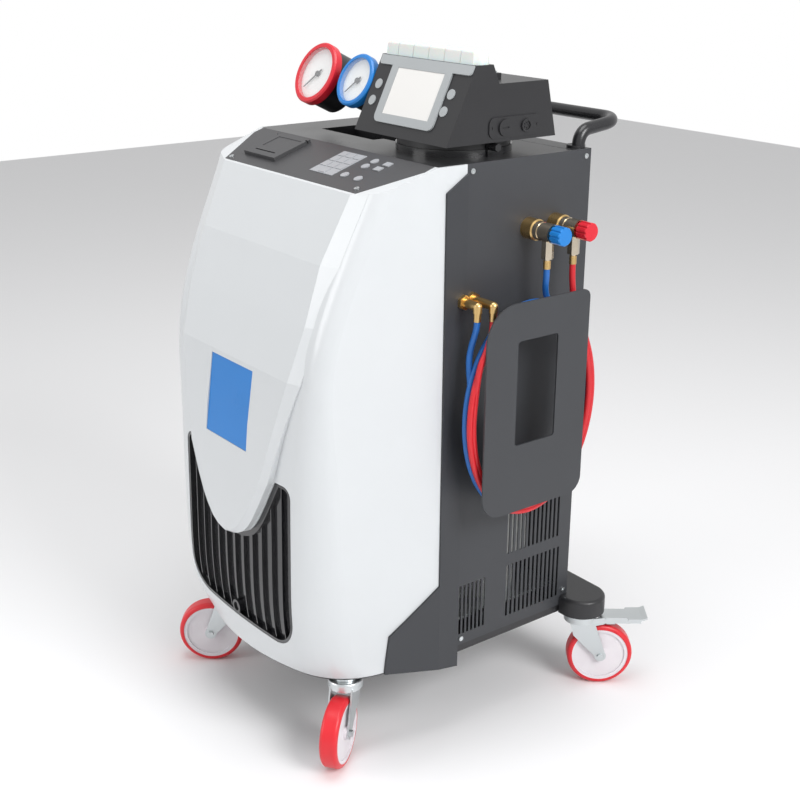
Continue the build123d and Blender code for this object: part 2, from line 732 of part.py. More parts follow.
def hinge_pin(radius, x0, x1):
    """A cylinder on the printer door's hinge axis."""
    start = CONSOLE_PLANE.location * Pos(x0, up_console(HINGE_Y), PIN_HEIGHT)
    return start * Rot(0, 90, 0) * Cylinder(radius, x1 - x0, align=LOW_END)


def printer():
    """The printer's tub with its flange, hinge ears and pin, the platen roller and the paper roll."""
    tub = printer_hole(0) & under_console(0)
    flange = on_console(*PRINTER_X, *PRINTER_Y, 0, PRINTER_FLANGE)
    body = tub + flange
    body -= on_console(PRINTER_X[0] + PRINTER_EDGE + PRINTER_WALL, PRINTER_X[1] - PRINTER_EDGE - PRINTER_WALL,
                       PRINTER_Y[0] + PRINTER_EDGE + PRINTER_WALL, PRINTER_Y[1] - PRINTER_EDGE - PRINTER_WALL,
                       PRINTER_WALL - PRINTER_DEPTH, PRINTER_DEPTH)
    ear = DOOR_THICK
    for x in (PRINTER_X[0], PRINTER_X[1] - ear):
        body += on_console(x, x + ear, HINGE_Y - DOOR_THICK / 2, HINGE_Y + DOOR_THICK / 2, 0,
                           PRINTER_FLANGE + DOOR_THICK)
    body += hinge_pin(DOOR_PIN, PRINTER_X[0] + 1, PRINTER_X[1] - 1)
    middle_x = (PRINTER_X[0] + PRINTER_X[1]) / 2
    roll_depth = PRINTER_WALL - PRINTER_DEPTH + ROLL_RADIUS
    roll_place = CONSOLE_PLANE.location * Pos(middle_x, up_console(PRINTER_Y[1] - 32), roll_depth) * Rot(0, 90, 0)
    roll = roll_place * (Cylinder(ROLL_RADIUS, ROLL_LENGTH) - Cylinder(ROLL_CORE, ROLL_LENGTH))
    platen = CONSOLE_PLANE.location * Pos(middle_x, up_console(PRINTER_Y[0] + 14), -8) * Rot(0, 90, 0)
    width = PRINTER_X[1] - PRINTER_X[0] - 2 * (PRINTER_EDGE + PRINTER_WALL)
    return [body, roll, platen * Cylinder(4, width)]


def printer_door():
    ear = DOOR_THICK + SEAT
    top = PRINTER_FLANGE + DOOR_THICK
    door = on_console(PRINTER_X[0] + ear, PRINTER_X[1] - ear, PRINTER_Y[0], HINGE_Y, PRINTER_FLANGE + SEAT, top)
    door += on_console(PRINTER_X[0], PRINTER_X[1], PRINTER_Y[0], HINGE_Y - DOOR_THICK, PRINTER_FLANGE + SEAT, top)
    door += hinge_pin(DOOR_THICK / 2 - SEAT / 2, PRINTER_X[0] + ear, PRINTER_X[1] - ear)
    door -= hinge_pin(DOOR_PIN + RUNNING, PRINTER_X[0] + 1, PRINTER_X[1] - 1)
    slot = on_console(PRINTER_X[0] + 18, PRINTER_X[1] - 18, PRINTER_Y[0] + 12, PRINTER_Y[0] + 15, 0, top + 1)
    recess = on_console(PRINTER_X[0] + 2 * DOOR_MARGIN, PRINTER_X[1] - DOOR_MARGIN, PRINTER_Y[0] + 3 * DOOR_MARGIN,
                        HINGE_Y - DOOR_MARGIN, top - DOOR_RECESS, top + 1)
    return door - slot - recess


# Push handle

def push_handle():
    route = FilletPolyline(
        (-HANDLE_X, HANDLE_Y, DECK_TOP + HANDLE_FOOT_THICK), (-HANDLE_X, HANDLE_Y, HANDLE_RISE),
        (-HANDLE_X, HANDLE_BAR_Y, HANDLE_BAR_Z), (HANDLE_X, HANDLE_BAR_Y, HANDLE_BAR_Z),
        (HANDLE_X, HANDLE_Y, HANDLE_RISE), (HANDLE_X, HANDLE_Y, DECK_TOP + HANDLE_FOOT_THICK),
        radius=[HANDLE_KNEE, HANDLE_BEND, HANDLE_BEND, HANDLE_KNEE])
    end = Plane(origin=route @ 0, z_dir=route % 0)
    tube = sweep(end * (Circle(HANDLE_RADIUS) - Circle(HANDLE_BORE)), path=route)
    foot = Pos(HANDLE_FOOT_X, HANDLE_Y, DECK_TOP) * Cylinder(HANDLE_FOOT, HANDLE_FOOT_THICK, align=LOW_END)
    return tube + both_sides(foot)


# Turntable

def turntable_base():
    base = Pos(TURN_X, TURN_Y, DECK_TOP) * Cylinder(TURN_BASE_RADIUS, TURN_BASE_TOP - DECK_TOP, align=LOW_END)
    start = TURN_X + TURN_RING_RADIUS + TURN_GAP
    boss = box(start, start + LOCK_BOSS, LOCK_Y - LOCK_BOSS_HALF, LOCK_Y + LOCK_BOSS_HALF, DECK_TOP,
               LOCK_Z + LOCK_BOSS_HALF)
    spigot = Pos(TURN_X, TURN_Y, DECK_TOP) * Cylinder(TURN_SPIGOT, HEAD_BOTTOM - DECK_TOP - SEAT, align=LOW_END)
    bore = rod((start - 1, LOCK_Y, LOCK_Z), (1, 0, 0), LOCK_BOSS + 2, LOCK_SHAFT + RUNNING)
    return base + boss + spigot - bore


def turntable_ring():
    low = TURN_BASE_TOP + TURN_GAP
    ring = Pos(TURN_X, TURN_Y, low) * Cylinder(TURN_RING_RADIUS, HEAD_BOTTOM - low, align=LOW_END)
    return ring - Pos(TURN_X, TURN_Y, low) * Cylinder(TURN_SPIGOT + RUNNING, HEAD_BOTTOM - low, align=LOW_END)


def lock_knob():
    start = TURN_X + TURN_RING_RADIUS + 2 * TURN_GAP
    shaft = rod((start, LOCK_Y, LOCK_Z), (1, 0, 0), LOCK_BOSS, LOCK_SHAFT)
    head_start = start + LOCK_BOSS
    head = rod((head_start, LOCK_Y, LOCK_Z), (1, 0, 0), LOCK_LENGTH, LOCK_KNOB)
    for i in range(6):
        angle = i * math.pi / 3
        groove = (head_start, LOCK_Y + (LOCK_KNOB + 1) * math.cos(angle), LOCK_Z + (LOCK_KNOB + 1) * math.sin(angle))
        head -= rod(groove, (1, 0, 0), LOCK_LENGTH, 2)
    return shaft + head


# Display head

FACE_LEAN = math.atan2(HEAD_BROW[0] - HEAD_NOSE[0], HEAD_BROW[1] - HEAD_NOSE[1])
FACE_NORMAL = (0, -math.cos(FACE_LEAN), math.sin(FACE_LEAN))
FACE_PLANE = Plane(origin=(0, *HEAD_NOSE), x_dir=(1, 0, 0), z_dir=FACE_NORMAL)


def on_face(xs, up, low, high):
    """A block that stands on the head's front face."""
    return FACE_PLANE.location * box(*xs, *up, low, high)


def head_profile():
    return make_face(Polyline(HEAD_NOSE, HEAD_BROW, (HEAD_RIDGE, HEAD_BROW[1]), HEAD_STEP,
                              (HEAD_BACK, HEAD_STEP[1]), (HEAD_HEEL, HEAD_BOTTOM), close=True))


def head_housing():
    width = HEAD_RIGHT - HEAD_LEFT
    body = Pos(HEAD_LEFT, 0, 0) * extrude(Plane.YZ * head_profile(), width)
    inner = offset(head_profile(), -HEAD_WALL, kind=Kind.INTERSECTION)
    body -= Pos(HEAD_LEFT + HEAD_WALL, 0, 0) * extrude(Plane.YZ * inner, width - 2 * HEAD_WALL)
    body -= Pos(TURN_X, TURN_Y, HEAD_BOTTOM - 1) * Cylinder(HEAD_HOLE, 3 * HEAD_WALL, align=LOW_END)
    pad = box(*PAD_X, *PAD_Y, HEAD_STEP[1], HEAD_STEP[1] + PAD_RISE)
    return body + pad


def face_rectangle(xs, up):
    """A rectangle drawn on the head's front face."""
    return Pos((xs[0] + xs[1]) / 2, (up[0] + up[1]) / 2) * Rectangle(xs[1] - xs[0], up[1] - up[0])


def head_fascia():
    """The grey T-shaped fascia with the screen's window, the pale lid on the pad and the four round keys."""
    outline = face_rectangle(FASCIA_X, (FASCIA_S[0], FASCIA_BAND_TOP))
    outline += face_rectangle(FASCIA_BAND_X, (FASCIA_S[1], FASCIA_BAND_TOP))
    outline = fillet(outline.vertices().group_by(Axis.Y)[0], FASCIA_CORNER)
    ends = outline.vertices().group_by(Axis.X)
    low_ends = [corners.sort_by(Axis.Y)[0] for corners in (ends[0], ends[-1])]
    outline = fillet(low_ends, FASCIA_BAND_CORNER)
    window = face_rectangle((SCREEN_X[0] - SCREEN_GAP, SCREEN_X[1] + SCREEN_GAP),
                            (SCREEN_S[0] - SCREEN_GAP, SCREEN_S[1] + SCREEN_GAP))
    plate = FACE_PLANE.location * extrude(outline - window, FASCIA)
    low = HEAD_STEP[1] + PAD_RISE
    lid = box(PAD_X[0] + PAD_INSET, PAD_X[1] - PAD_INSET, PAD_Y[0] + PAD_INSET, PAD_Y[1] - PAD_INSET,
              low, low + PAD_LID)
    discs = [FACE_PLANE.location * Pos(x, s, 0) * Cylinder(FACE_BUTTON, FACE_BUTTON_RISE, align=LOW_END)
             for x, s in FACE_BUTTONS]
    return [plate, lid] + discs


def screen_panel():
    return on_face(SCREEN_X, SCREEN_S, 0, SCREEN_THICK)


def light_block(inset):
    """The light bar's tapered body, or the core that its grooves stop at."""
    width = HEAD_RIGHT - HEAD_LEFT - 2 * (LIGHT_MARGIN + inset)
    depth = HEAD_RIDGE - HEAD_BROW[0] - 2 * inset
    plan = Rectangle(width, depth)
    plan = chamfer(plan.vertices(), LIGHT_CHAMFER)
    place = Pos((HEAD_LEFT + HEAD_RIGHT) / 2, (HEAD_BROW[0] + HEAD_RIDGE) / 2, HEAD_BROW[1])
    return place * extrude(plan, LIGHT_RISE - inset, taper=LIGHT_TAPER)


def light_bar():
    """The frosted light bar on the brow, grooved between its segments."""
    bar = light_block(0)
    bar = fillet(bar.edges().group_by(Axis.Z)[-1], LIGHT_ROUND)
    core = light_block(LIGHT_GROOVE)
    pitch = (HEAD_RIGHT - HEAD_LEFT - 2 * LIGHT_MARGIN) / LIGHT_SEGMENTS
    for i in range(1, LIGHT_SEGMENTS):
        x = HEAD_LEFT + LIGHT_MARGIN + i * pitch
        groove = box(x - LIGHT_GROOVE / 2, x + LIGHT_GROOVE / 2, HEAD_BROW[0] - 1, HEAD_RIDGE + 1,
                     HEAD_BROW[1] - 1, HEAD_BROW[1] + LIGHT_RISE + 1)
        bar -= groove - core
    return bar


def side_ports():
    """The port plate, the slotted card cover and the pin connector on the head's right side."""
    middle_y = (PORT_PLATE_Y[0] + PORT_PLATE_Y[1]) / 2
    middle_z = (PORT_PLATE_Z[0] + PORT_PLATE_Z[1]) / 2
    wall = Plane(origin=(HEAD_RIGHT, middle_y, middle_z), x_dir=(0, 1, 0), z_dir=(1, 0, 0))
    sheet = RectangleRounded(PORT_PLATE_Y[1] - PORT_PLATE_Y[0], PORT_PLATE_Z[1] - PORT_PLATE_Z[0], PORT_PLATE_CORNER)
    plate = wall.location * extrude(sheet, PORT_PLATE)
    start = HEAD_RIGHT + PORT_PLATE
    for y in PORT_SCREWS:
        plate += rod((start, y, middle_z), (1, 0, 0), PORT_SCREW[1], PORT_SCREW[0])
    cover = rod((start, CARD_COVER[0], middle_z), (1, 0, 0), PORT_RISE, CARD_COVER[1])
    length, height, depth = CARD_SLOT
    cover -= box(start + PORT_RISE - depth, start + PORT_RISE + 1, CARD_COVER[0] - length / 2,
                 CARD_COVER[0] + length / 2, middle_z - height / 2, middle_z + height / 2)
    socket = rod((start, DATA_PORT[0], middle_z), (1, 0, 0), PORT_RISE, DATA_PORT[1])
    socket -= rod((start + 1, DATA_PORT[0], middle_z), (1, 0, 0), PORT_RISE, DATA_PORT[1] - 3)
    for i in range(PORT_PINS):
        angle = 2 * math.pi * i / PORT_PINS
        reach = DATA_PORT[1] / 2.5
        pin = (start, DATA_PORT[0] + reach * math.cos(angle), middle_z + reach * math.sin(angle))
        socket += rod(pin, (1, 0, 0), PORT_RISE - 0.5, 1)
    return [plate, cover, socket]


# Gauges

def gauge_plane(name):
    x, y, z = GAUGES[name][:3]
    return Plane(origin=(x, y, z), x_dir=(1, 0, 0), z_dir=FACE_NORMAL)


def gauge_disc(name, radius, near, far):
    """A disc on a gauge's axis, between two depths behind its front."""
    return gauge_plane(name).location * Pos(0, 0, -far) * Cylinder(radius, far - near, align=LOW_END)


def gauge_bezel(name):
    outer, inner = GAUGES[name][3:]
    ring = gauge_disc(name, outer, 0, GAUGE_BEZEL)
    ring = chamfer(ring.edges().filter_by(GeomType.CIRCLE).sort_by(Axis.Y)[0], 2.5)
    return ring - gauge_disc(name, inner, -1, GAUGE_BEZEL + 1)


def gauge_cups():
    """The two black cups and the bracket that carries them on the head's left side."""
    cups = []
    bore = []
    for name in GAUGES:
        outer, inner = GAUGES[name][3:]
        cups.append(gauge_disc(name, outer - GAUGE_CUP_INSET, GAUGE_BEZEL, GAUGE_DEPTH))
        cup_inner = inner - GAUGE_CUP_WALL
        bore.append(gauge_disc(name, cup_inner, GAUGE_DIAL[1] - 1, GAUGE_DEPTH - GAUGE_CUP_WALL))
    left = GAUGES["high"][0]
    middle = Plane(origin=(0, GAUGES["low"][1], GAUGES["low"][2]), x_dir=(1, 0, 0), z_dir=FACE_NORMAL)
    arm = middle.location * box(left, HEAD_LEFT, -BRACKET_HALF, BRACKET_HALF, -GAUGE_DEPTH - BRACKET, -GAUGE_DEPTH)
    return [cups[0] - bore[0], cups[1] - bore[1], arm]


def gauge_dials():
    pieces = []
    for name in GAUGES:
        inner = GAUGES[name][4]
        disc = gauge_disc(name, inner - GAUGE_FIT, *GAUGE_DIAL)
        lip = gauge_disc(name, inner - GAUGE_FIT, GAUGE_DIAL[1], GAUGE_BEZEL)
        lip -= gauge_disc(name, inner - GAUGE_CUP_WALL, 0, GAUGE_BEZEL + 1)
        pieces.append(disc + lip - gauge_disc(name, NEEDLE_PIN + RUNNING, 0, GAUGE_BEZEL))
    return pieces


def gauge_lenses():
    return [gauge_disc(name, GAUGES[name][4] - RUNNING, *GAUGE_LENS) for name in GAUGES]


def gauge_needle(name):
    """A tapered pointer with a round hub, on a pin that turns in the dial."""
    reach = GAUGES[name][4] * NEEDLE_TIP
    tail = GAUGES[name][4] * NEEDLE_TAIL
    outline = Polyline((-tail, -NEEDLE_WIDTH / 2), (reach, -NEEDLE_WIDTH / 6), (reach, NEEDLE_WIDTH / 6),
                       (-tail, NEEDLE_WIDTH / 2), close=True)
    pointer = extrude(make_face(outline), NEEDLE_DEPTH[1] - NEEDLE_DEPTH[0])
    pointer = gauge_plane(name).location * Pos(0, 0, -NEEDLE_DEPTH[1]) * Rot(0, 0, NEEDLE_REST) * pointer
    hub = gauge_disc(name, NEEDLE_HUB, NEEDLE_DEPTH[0] - 1, NEEDLE_DEPTH[1] + 1)
    return pointer + hub + gauge_disc(name, NEEDLE_PIN, NEEDLE_DEPTH[1], GAUGE_BEZEL - 1)


# Service ports, couplers and hoses

def side_fittings():
    """The two parking ports, and the two bulkhead elbows that the hoses start from."""
    pieces = []
    for name, y in PORT_Y.items():
        port = rod((CABINET_HALF, y, PORT_Z), (1, 0, 0), PORT_FACE - CABINET_HALF, PORT_RADIUS)
        port = chamfer(port.edges().filter_by(GeomType.CIRCLE).sort_by(Axis.X)[-1], 2)
        port += rod((PORT_FACE, y, PORT_Z), (1, 0, 0), PORT_NIPPLE_LENGTH, PORT_NIPPLE)
        pieces.append(port)
    for name, y in TAIL_Y.items():
        x = COIL_X[name]
        on_cheek = y - ELBOW_NUT < PANEL_FRONT
        wall = SHELL_HALF + CHEEK if on_cheek else CABINET_HALF
        low = TAIL_TOP + FERRULE_LENGTH
        z = low + ELBOW_RADIUS + 3
        elbow = rod((wall, y, z), (1, 0, 0), x - wall, ELBOW_RADIUS)
        elbow += Pos(x, y, z) * Sphere(ELBOW_RADIUS)
        elbow += rod((x, y, low), (0, 0, 1), z - low, ELBOW_RADIUS)
        nut = Plane(origin=(wall, y, z), z_dir=(1, 0, 0))
        elbow += nut.location * extrude(RegularPolygon(ELBOW_NUT, 6, major_radius=False), ELBOW_NUT_THICK)
        pieces.append(elbow)
    return pieces


def service_couplers():
    """Quick couplers parked on the ports, each with a hexagon drop fitting."""
    pieces = []
    for y in PORT_Y.values():
        start = PORT_FACE + SEAT
        body = rod((start, y, PORT_Z), (1, 0, 0), COUPLER_END - start, COUPLER_GRIP)
        collar = rod((start, y, PORT_Z), (1, 0, 0), 9, COUPLER_RADIUS)
        body += collar
        body += rod((COUPLER_SEAT + 2, y, PORT_Z), (1, 0, 0), COUPLER_END - COUPLER_SEAT - 2, COUPLER_RADIUS)
        body += rod((COUPLER_END, y, PORT_Z), (1, 0, 0), KNOB_START - COUPLER_END - SEAT, MOUTH_RADIUS)
        body += rod((COUPLER_END, y, PORT_Z), (1, 0, 0), SPINDLE_END - COUPLER_END, SPINDLE_RADIUS)
        body -= rod((start, y, PORT_Z), (1, 0, 0), COUPLER_SEAT - start, COUPLER_BORE)
        hexagon = Pos(DROP_X, y, HEX_BOTTOM) * extrude(
            RegularPolygon(HEX_FLATS / 2, 6, major_radius=False), HEX_TOP + 4 - HEX_BOTTOM)
        body += hexagon
        body += Pos(DROP_X, y, FERRULE_TOP) * Cylinder(NECK_RADIUS, HEX_BOTTOM - FERRULE_TOP, align=LOW_END)
        pieces.append(body)
    return pieces


def coupler_knob(y):
    """A fluted knob that turns on the coupler's spindle."""
    knob = rod((KNOB_START, y, PORT_Z), (1, 0, 0), KNOB_END - KNOB_START, KNOB_RADIUS)
    knob = chamfer(knob.edges().filter_by(GeomType.CIRCLE).sort_by(Axis.X)[-1], 1.5)
    for i in range(KNOB_FLUTES):
        angle = 2 * math.pi * i / KNOB_FLUTES
        away = KNOB_RADIUS + 0.6
        flute = (KNOB_START, y + away * math.cos(angle), PORT_Z + away * math.sin(angle))
        knob -= rod(flute, (1, 0, 0), KNOB_END - KNOB_START, KNOB_FLUTE)
    return knob - rod((KNOB_START, y, PORT_Z), (1, 0, 0), SPINDLE_END + SEAT - KNOB_START, SPINDLE_RADIUS + RUNNING)


def hose_ferrules():
    pieces = []
    for name in PORT_Y:
        low = FERRULE_TOP - FERRULE_LENGTH
        pieces.append(Pos(DROP_X, PORT_Y[name], low) * Cylinder(FERRULE_RADIUS, FERRULE_LENGTH, align=LOW_END))
        pieces.append(Pos(COIL_X[name], TAIL_Y[name], TAIL_TOP) * Cylinder(FERRULE_RADIUS, FERRULE_LENGTH,
                                                                          align=LOW_END))
    return pieces


def drop_hose(name):
    """The stretch of hose from the coupler down to its coil."""
    points = [Vector(*p) for p in DROP_ROUTE[name]]
    radii = []
    for before, here, after in zip(points, points[1:], points[2:]):
        run = min((here - before).length, (after - here).length)
        turn = math.radians((here - before).get_angle(after - here))
        radii.append(0.45 * run / math.tan(turn / 2))
    print(name, "hose radii", [round(r) for r in radii])
    route = FilletPolyline(*points, radius=radii)
    end = Plane(origin=route @ 0, z_dir=route % 0)
    tube = sweep(end * Circle(HOSE_RADIUS), path=route)
    print(name, "hose volume over section by length", tube.volume / (math.pi * HOSE_RADIUS ** 2 * route.length))
    return tube


def hose_coil(name):
    """Two turns of hose as one oval ring, with the tail that rises to its bulkhead elbow."""
    plane = Plane(origin=(COIL_X[name] - COIL_WIDTH / 2, COIL_Y, COIL_Z), x_dir=(0, 1, 0), z_dir=(1, 0, 0))
    ring = Ellipse(COIL_HALF_Y, COIL_HALF_Z) - Ellipse(COIL_HALF_Y - COIL_BAND, COIL_HALF_Z - COIL_BAND)
    coil = plane.location * extrude(ring, COIL_WIDTH)
    aside = (TAIL_Y[name] - COIL_Y) / COIL_HALF_Y
    start = COIL_Z + COIL_HALF_Z * math.sqrt(1 - aside ** 2) - COIL_BAND
    tail = rod((COIL_X[name], TAIL_Y[name], start), (0, 0, 1), TAIL_TOP - start, HOSE_RADIUS)
    return coil + tail


def hose_holder():
    """The stand-off plate with its window, welded to four spacers."""
    width = HOLDER_Y[1] - HOLDER_Y[0]
    height = HOLDER_Z[1] - HOLDER_Z[0]
    plate = Rectangle(width, height)
    low_left, low_right, top_right, top_left = HOLDER_CORNERS
    for corner, radius in [((-1, -1), low_left), ((1, -1), low_right), ((1, 1), top_right), ((-1, 1), top_left)]:
        place = Vector(corner[0] * width / 2, corner[1] * height / 2)
        plate = fillet(plate.vertices().sort_by_distance(place)[0], radius)
    middle = ((HOLDER_Y[0] + HOLDER_Y[1]) / 2, (HOLDER_Z[0] + HOLDER_Z[1]) / 2)
    window_middle = ((WINDOW_Y[0] + WINDOW_Y[1]) / 2 - middle[0], (WINDOW_Z[0] + WINDOW_Z[1]) / 2 - middle[1])
    plate -= Pos(*window_middle) * RectangleRounded(WINDOW_Y[1] - WINDOW_Y[0], WINDOW_Z[1] - WINDOW_Z[0],
                                                    WINDOW_RADIUS)
    plane = Plane(origin=(HOLDER_X, *middle), x_dir=(0, 1, 0), z_dir=(1, 0, 0))
    holder = plane.location * extrude(plate, HOLDER_SHEET)
    for y, z in SPACERS:
        holder += rod((CABINET_HALF, y, z), (1, 0, 0), HOLDER_X - CABINET_HALF, SPACER_RADIUS)
    return holder


# Casters, built with the swivel axis at the origin and the wheel trailing towards +x

def caster_place(name):
    x, y, angle = CASTERS[name]
    return Pos(x, y, 0) * Rot(0, 0, angle)


def across(x, z, radius, half):
    """A cylinder across a caster, square to its wheel's plane."""
    return Pos(x, 0, z) * Rot(90, 0, 0) * Cylinder(radius, 2 * half)


def caster_stem():
    race = Pos(0, 0, PAN_BOTTOM - RACE_THICK) * Cylinder(RACE_RADIUS, RACE_THICK, align=LOW_END)
    head_low = CROWN_BOTTOM - SEAT - STEM_HEAD
    pin = Pos(0, 0, head_low) * Cylinder(STEM_RADIUS, PAN_BOTTOM - head_low, align=LOW_END)
    head = Pos(0, 0, head_low) * extrude(RegularPolygon(STEM_HEAD_RADIUS, 6), STEM_HEAD)
    return race + pin + head


def caster_fork(braked):
    """Crown and two pressed legs, and the axle bolt. A braked fork has ears and a pin for its pedal."""
    crown_top = PAN_BOTTOM - RACE_THICK - SEAT
    crown = Pos(0, 0, CROWN_BOTTOM) * Cylinder(CROWN_RADIUS, crown_top - CROWN_BOTTOM, align=LOW_END)
    crown = fillet(crown.edges().filter_by(GeomType.CIRCLE).group_by(Axis.Z)[-1], 4)
    leg_in = BOSS_HALF + FORK_GAP
    leg_out = leg_in + FORK_SHEET
    outline = Polyline((-22, CROWN_BOTTOM + 6), (24, CROWN_BOTTOM + 6), (TRAIL + LEG_WIDTH, WHEEL_RADIUS),
                       (TRAIL - LEG_WIDTH, WHEEL_RADIUS), (-14, 108), close=True)
    plate = make_face(outline) + Pos(TRAIL, WHEEL_RADIUS) * Circle(LEG_WIDTH)
    if braked:
        plate += make_face(Polyline((0, CROWN_BOTTOM - 12), (PEDAL_PIVOT[0], PEDAL_PIVOT[1] - EAR_RADIUS),
                                    (PEDAL_PIVOT[0], PEDAL_PIVOT[1] + EAR_RADIUS), (0, CROWN_BOTTOM + 6),
                                    close=True))
        plate += Pos(*PEDAL_PIVOT) * Circle(EAR_RADIUS)
    leg = Pos(0, -leg_in, 0) * extrude(Plane.XZ * plate, FORK_SHEET)
    fork = crown + leg + mirror(leg, about=Plane.XZ)
    fork -= Pos(0, 0, CROWN_BOTTOM - 1) * Cylinder(STEM_RADIUS + RUNNING, 30, align=LOW_END)
    fork -= across(TRAIL, WHEEL_RADIUS, AXLE_RADIUS + RUNNING, leg_out + 1)
    if braked:
        fork += across(*PEDAL_PIVOT, PEDAL_PIN, leg_out)
    bolt = across(TRAIL, WHEEL_RADIUS, AXLE_RADIUS, leg_out)
    for side in (1, -1):
        head = Pos(TRAIL, side * (leg_out + AXLE_HEAD_LENGTH / 2), WHEEL_RADIUS) * Rot(90, 0, 0)
        bolt += head * Pos(0, 0, -AXLE_HEAD_LENGTH / 2) * extrude(RegularPolygon(AXLE_HEAD, 6), AXLE_HEAD_LENGTH)
    return [fork, bolt]


def caster_wheel():
    """A tyre with rounded shoulders, and a hub with rim, web and boss."""
    tyre_in = WHEEL_RADIUS - TYRE_DEPTH
    tyre = across(TRAIL, WHEEL_RADIUS, WHEEL_RADIUS, WHEEL_WIDTH / 2)
    tyre = fillet(tyre.edges().filter_by(GeomType.CIRCLE), TYRE_ROUND)
    tyre -= across(TRAIL, WHEEL_RADIUS, tyre_in, WHEEL_WIDTH)
    hub = across(TRAIL, WHEEL_RADIUS, tyre_in, WHEEL_WIDTH / 2 - 1)
    hub -= across(TRAIL, WHEEL_RADIUS, tyre_in - HUB_RIM, WHEEL_WIDTH)
    hub += across(TRAIL, WHEEL_RADIUS, tyre_in - 1, HUB_WEB / 2)
    hub += across(TRAIL, WHEEL_RADIUS, HUB_BOSS, BOSS_HALF)
    hub -= across(TRAIL, WHEEL_RADIUS, AXLE_RADIUS + RUNNING, WHEEL_WIDTH)
    return [tyre, hub]


def brake_pedal():
    """A pressed foot plate on a tube that turns on the fork's pin, with a shoe over the tyre."""
    pivot_x, pivot_z = PEDAL_PIVOT
    half = BOSS_HALF
    tube = across(pivot_x, pivot_z, PEDAL_TUBE, half)
    top = pivot_z + PEDAL_TUBE
    tread = PEDAL_TIP - 36
    fold = PEDAL_TIP - 10
    outline = Polyline((pivot_x, top), (fold, top), (PEDAL_TIP, top + PEDAL_RISE),
                       (PEDAL_TIP, top + PEDAL_RISE - PEDAL_SHEET), (fold, top - PEDAL_SHEET),
                       (pivot_x, top - PEDAL_SHEET), close=True)
    plate = extrude(Plane.XZ * make_face(outline), half, both=True)
    toe = box(tread, PEDAL_TIP, -half - PEDAL_WING, half + PEDAL_WING, 0, 2 * top)
    wide = extrude(Plane.XZ * make_face(outline), half + PEDAL_WING, both=True) & toe
    web = box(pivot_x, fold, -half, -half + PEDAL_SHEET, pivot_z - PEDAL_TUBE, top)
    wide += web + mirror(web, about=Plane.XZ)
    shoe = box(SHOE[0], SHOE[1], -WHEEL_WIDTH / 2 + 3, WHEEL_WIDTH / 2 - 3, SHOE[2], top - 3)
    return tube + plate + wide + shoe - across(pivot_x, pivot_z, PEDAL_PIN + RUNNING, half + 1)


# Inner parts

def tank_scale():
    """The weighing platform: two plates with a bending load cell between them."""
    low = PAN_BOTTOM + PAN_FLOOR
    top = low + SCALE_HEIGHT
    base = box(TANK_X - SCALE_HALF, TANK_X + SCALE_HALF, TANK_Y - SCALE_HALF, TANK_Y + SCALE_HALF,
               low, low + SCALE_PLATE)
    plate = box(TANK_X - SCALE_HALF, TANK_X + SCALE_HALF, TANK_Y - SCALE_HALF, TANK_Y + SCALE_HALF,
                top - SCALE_PLATE, top)
    length, width, height = LOAD_CELL
    middle = (low + top) / 2
    cell = Pos(TANK_X, TANK_Y, middle) * Box(length, width, height)
    for x in (-12, 12):
        cell -= Pos(TANK_X + x, TANK_Y, middle) * Rot(90, 0, 0) * Cylinder(9, width)
    spacer = (SCALE_HEIGHT - 2 * SCALE_PLATE - height) / 2
    foot = Pos(TANK_X - length / 2 + 15, TANK_Y, low + SCALE_PLATE + spacer / 2) * Box(30, width, spacer)
    head = Pos(TANK_X + length / 2 - 15, TANK_Y, top - SCALE_PLATE - spacer / 2) * Box(30, width, spacer)
    return [base, plate, cell + foot + head]


def tank_body(inset, start):
    """The tank's drum with its two domes, or the space inside it."""
    radius = TANK_RADIUS - inset
    top = TANK_TOP - inset
    bottom = start + inset
    neck = 20
    shoulder = radius * 0.72
    crown = TANK_DOME * 0.3
    profile = Polyline((0, bottom), (0, top), (neck, top), (shoulder, top - crown), (radius, top - TANK_DOME),
                       (radius, bottom + TANK_DOME), (shoulder, bottom + crown), (neck, bottom), close=True)
    return revolve(Plane.XZ * make_face(profile), Axis.Z)


def refrigerant_tank():
    """A welded steel bottle with domed ends, a foot ring and a valve on top."""
    low = PAN_BOTTOM + PAN_FLOOR + SCALE_HEIGHT
    body = tank_body(0, low + TANK_LIFT) - tank_body(TANK_WALL, low + TANK_LIFT)
    ring = Pos(0, 0, low) * (Cylinder(TANK_FOOT, 45, align=LOW_END) - Cylinder(TANK_FOOT - 3, 45, align=LOW_END))
    valve = Pos(0, 0, TANK_TOP - 2) * Cylinder(14, 26, align=LOW_END)
    valve += Pos(0, 0, TANK_TOP + 24) * Cylinder(9, 22, align=LOW_END)
    valve += rod((0, 0, TANK_TOP + 14), (-1, 0, 0), 34, 7)
    bore = Pos(0, 0, TANK_TOP - 2 * TANK_WALL) * Cylinder(3, 80, align=LOW_END)
    return Pos(TANK_X, TANK_Y, 0) * (body + ring + valve - bore)


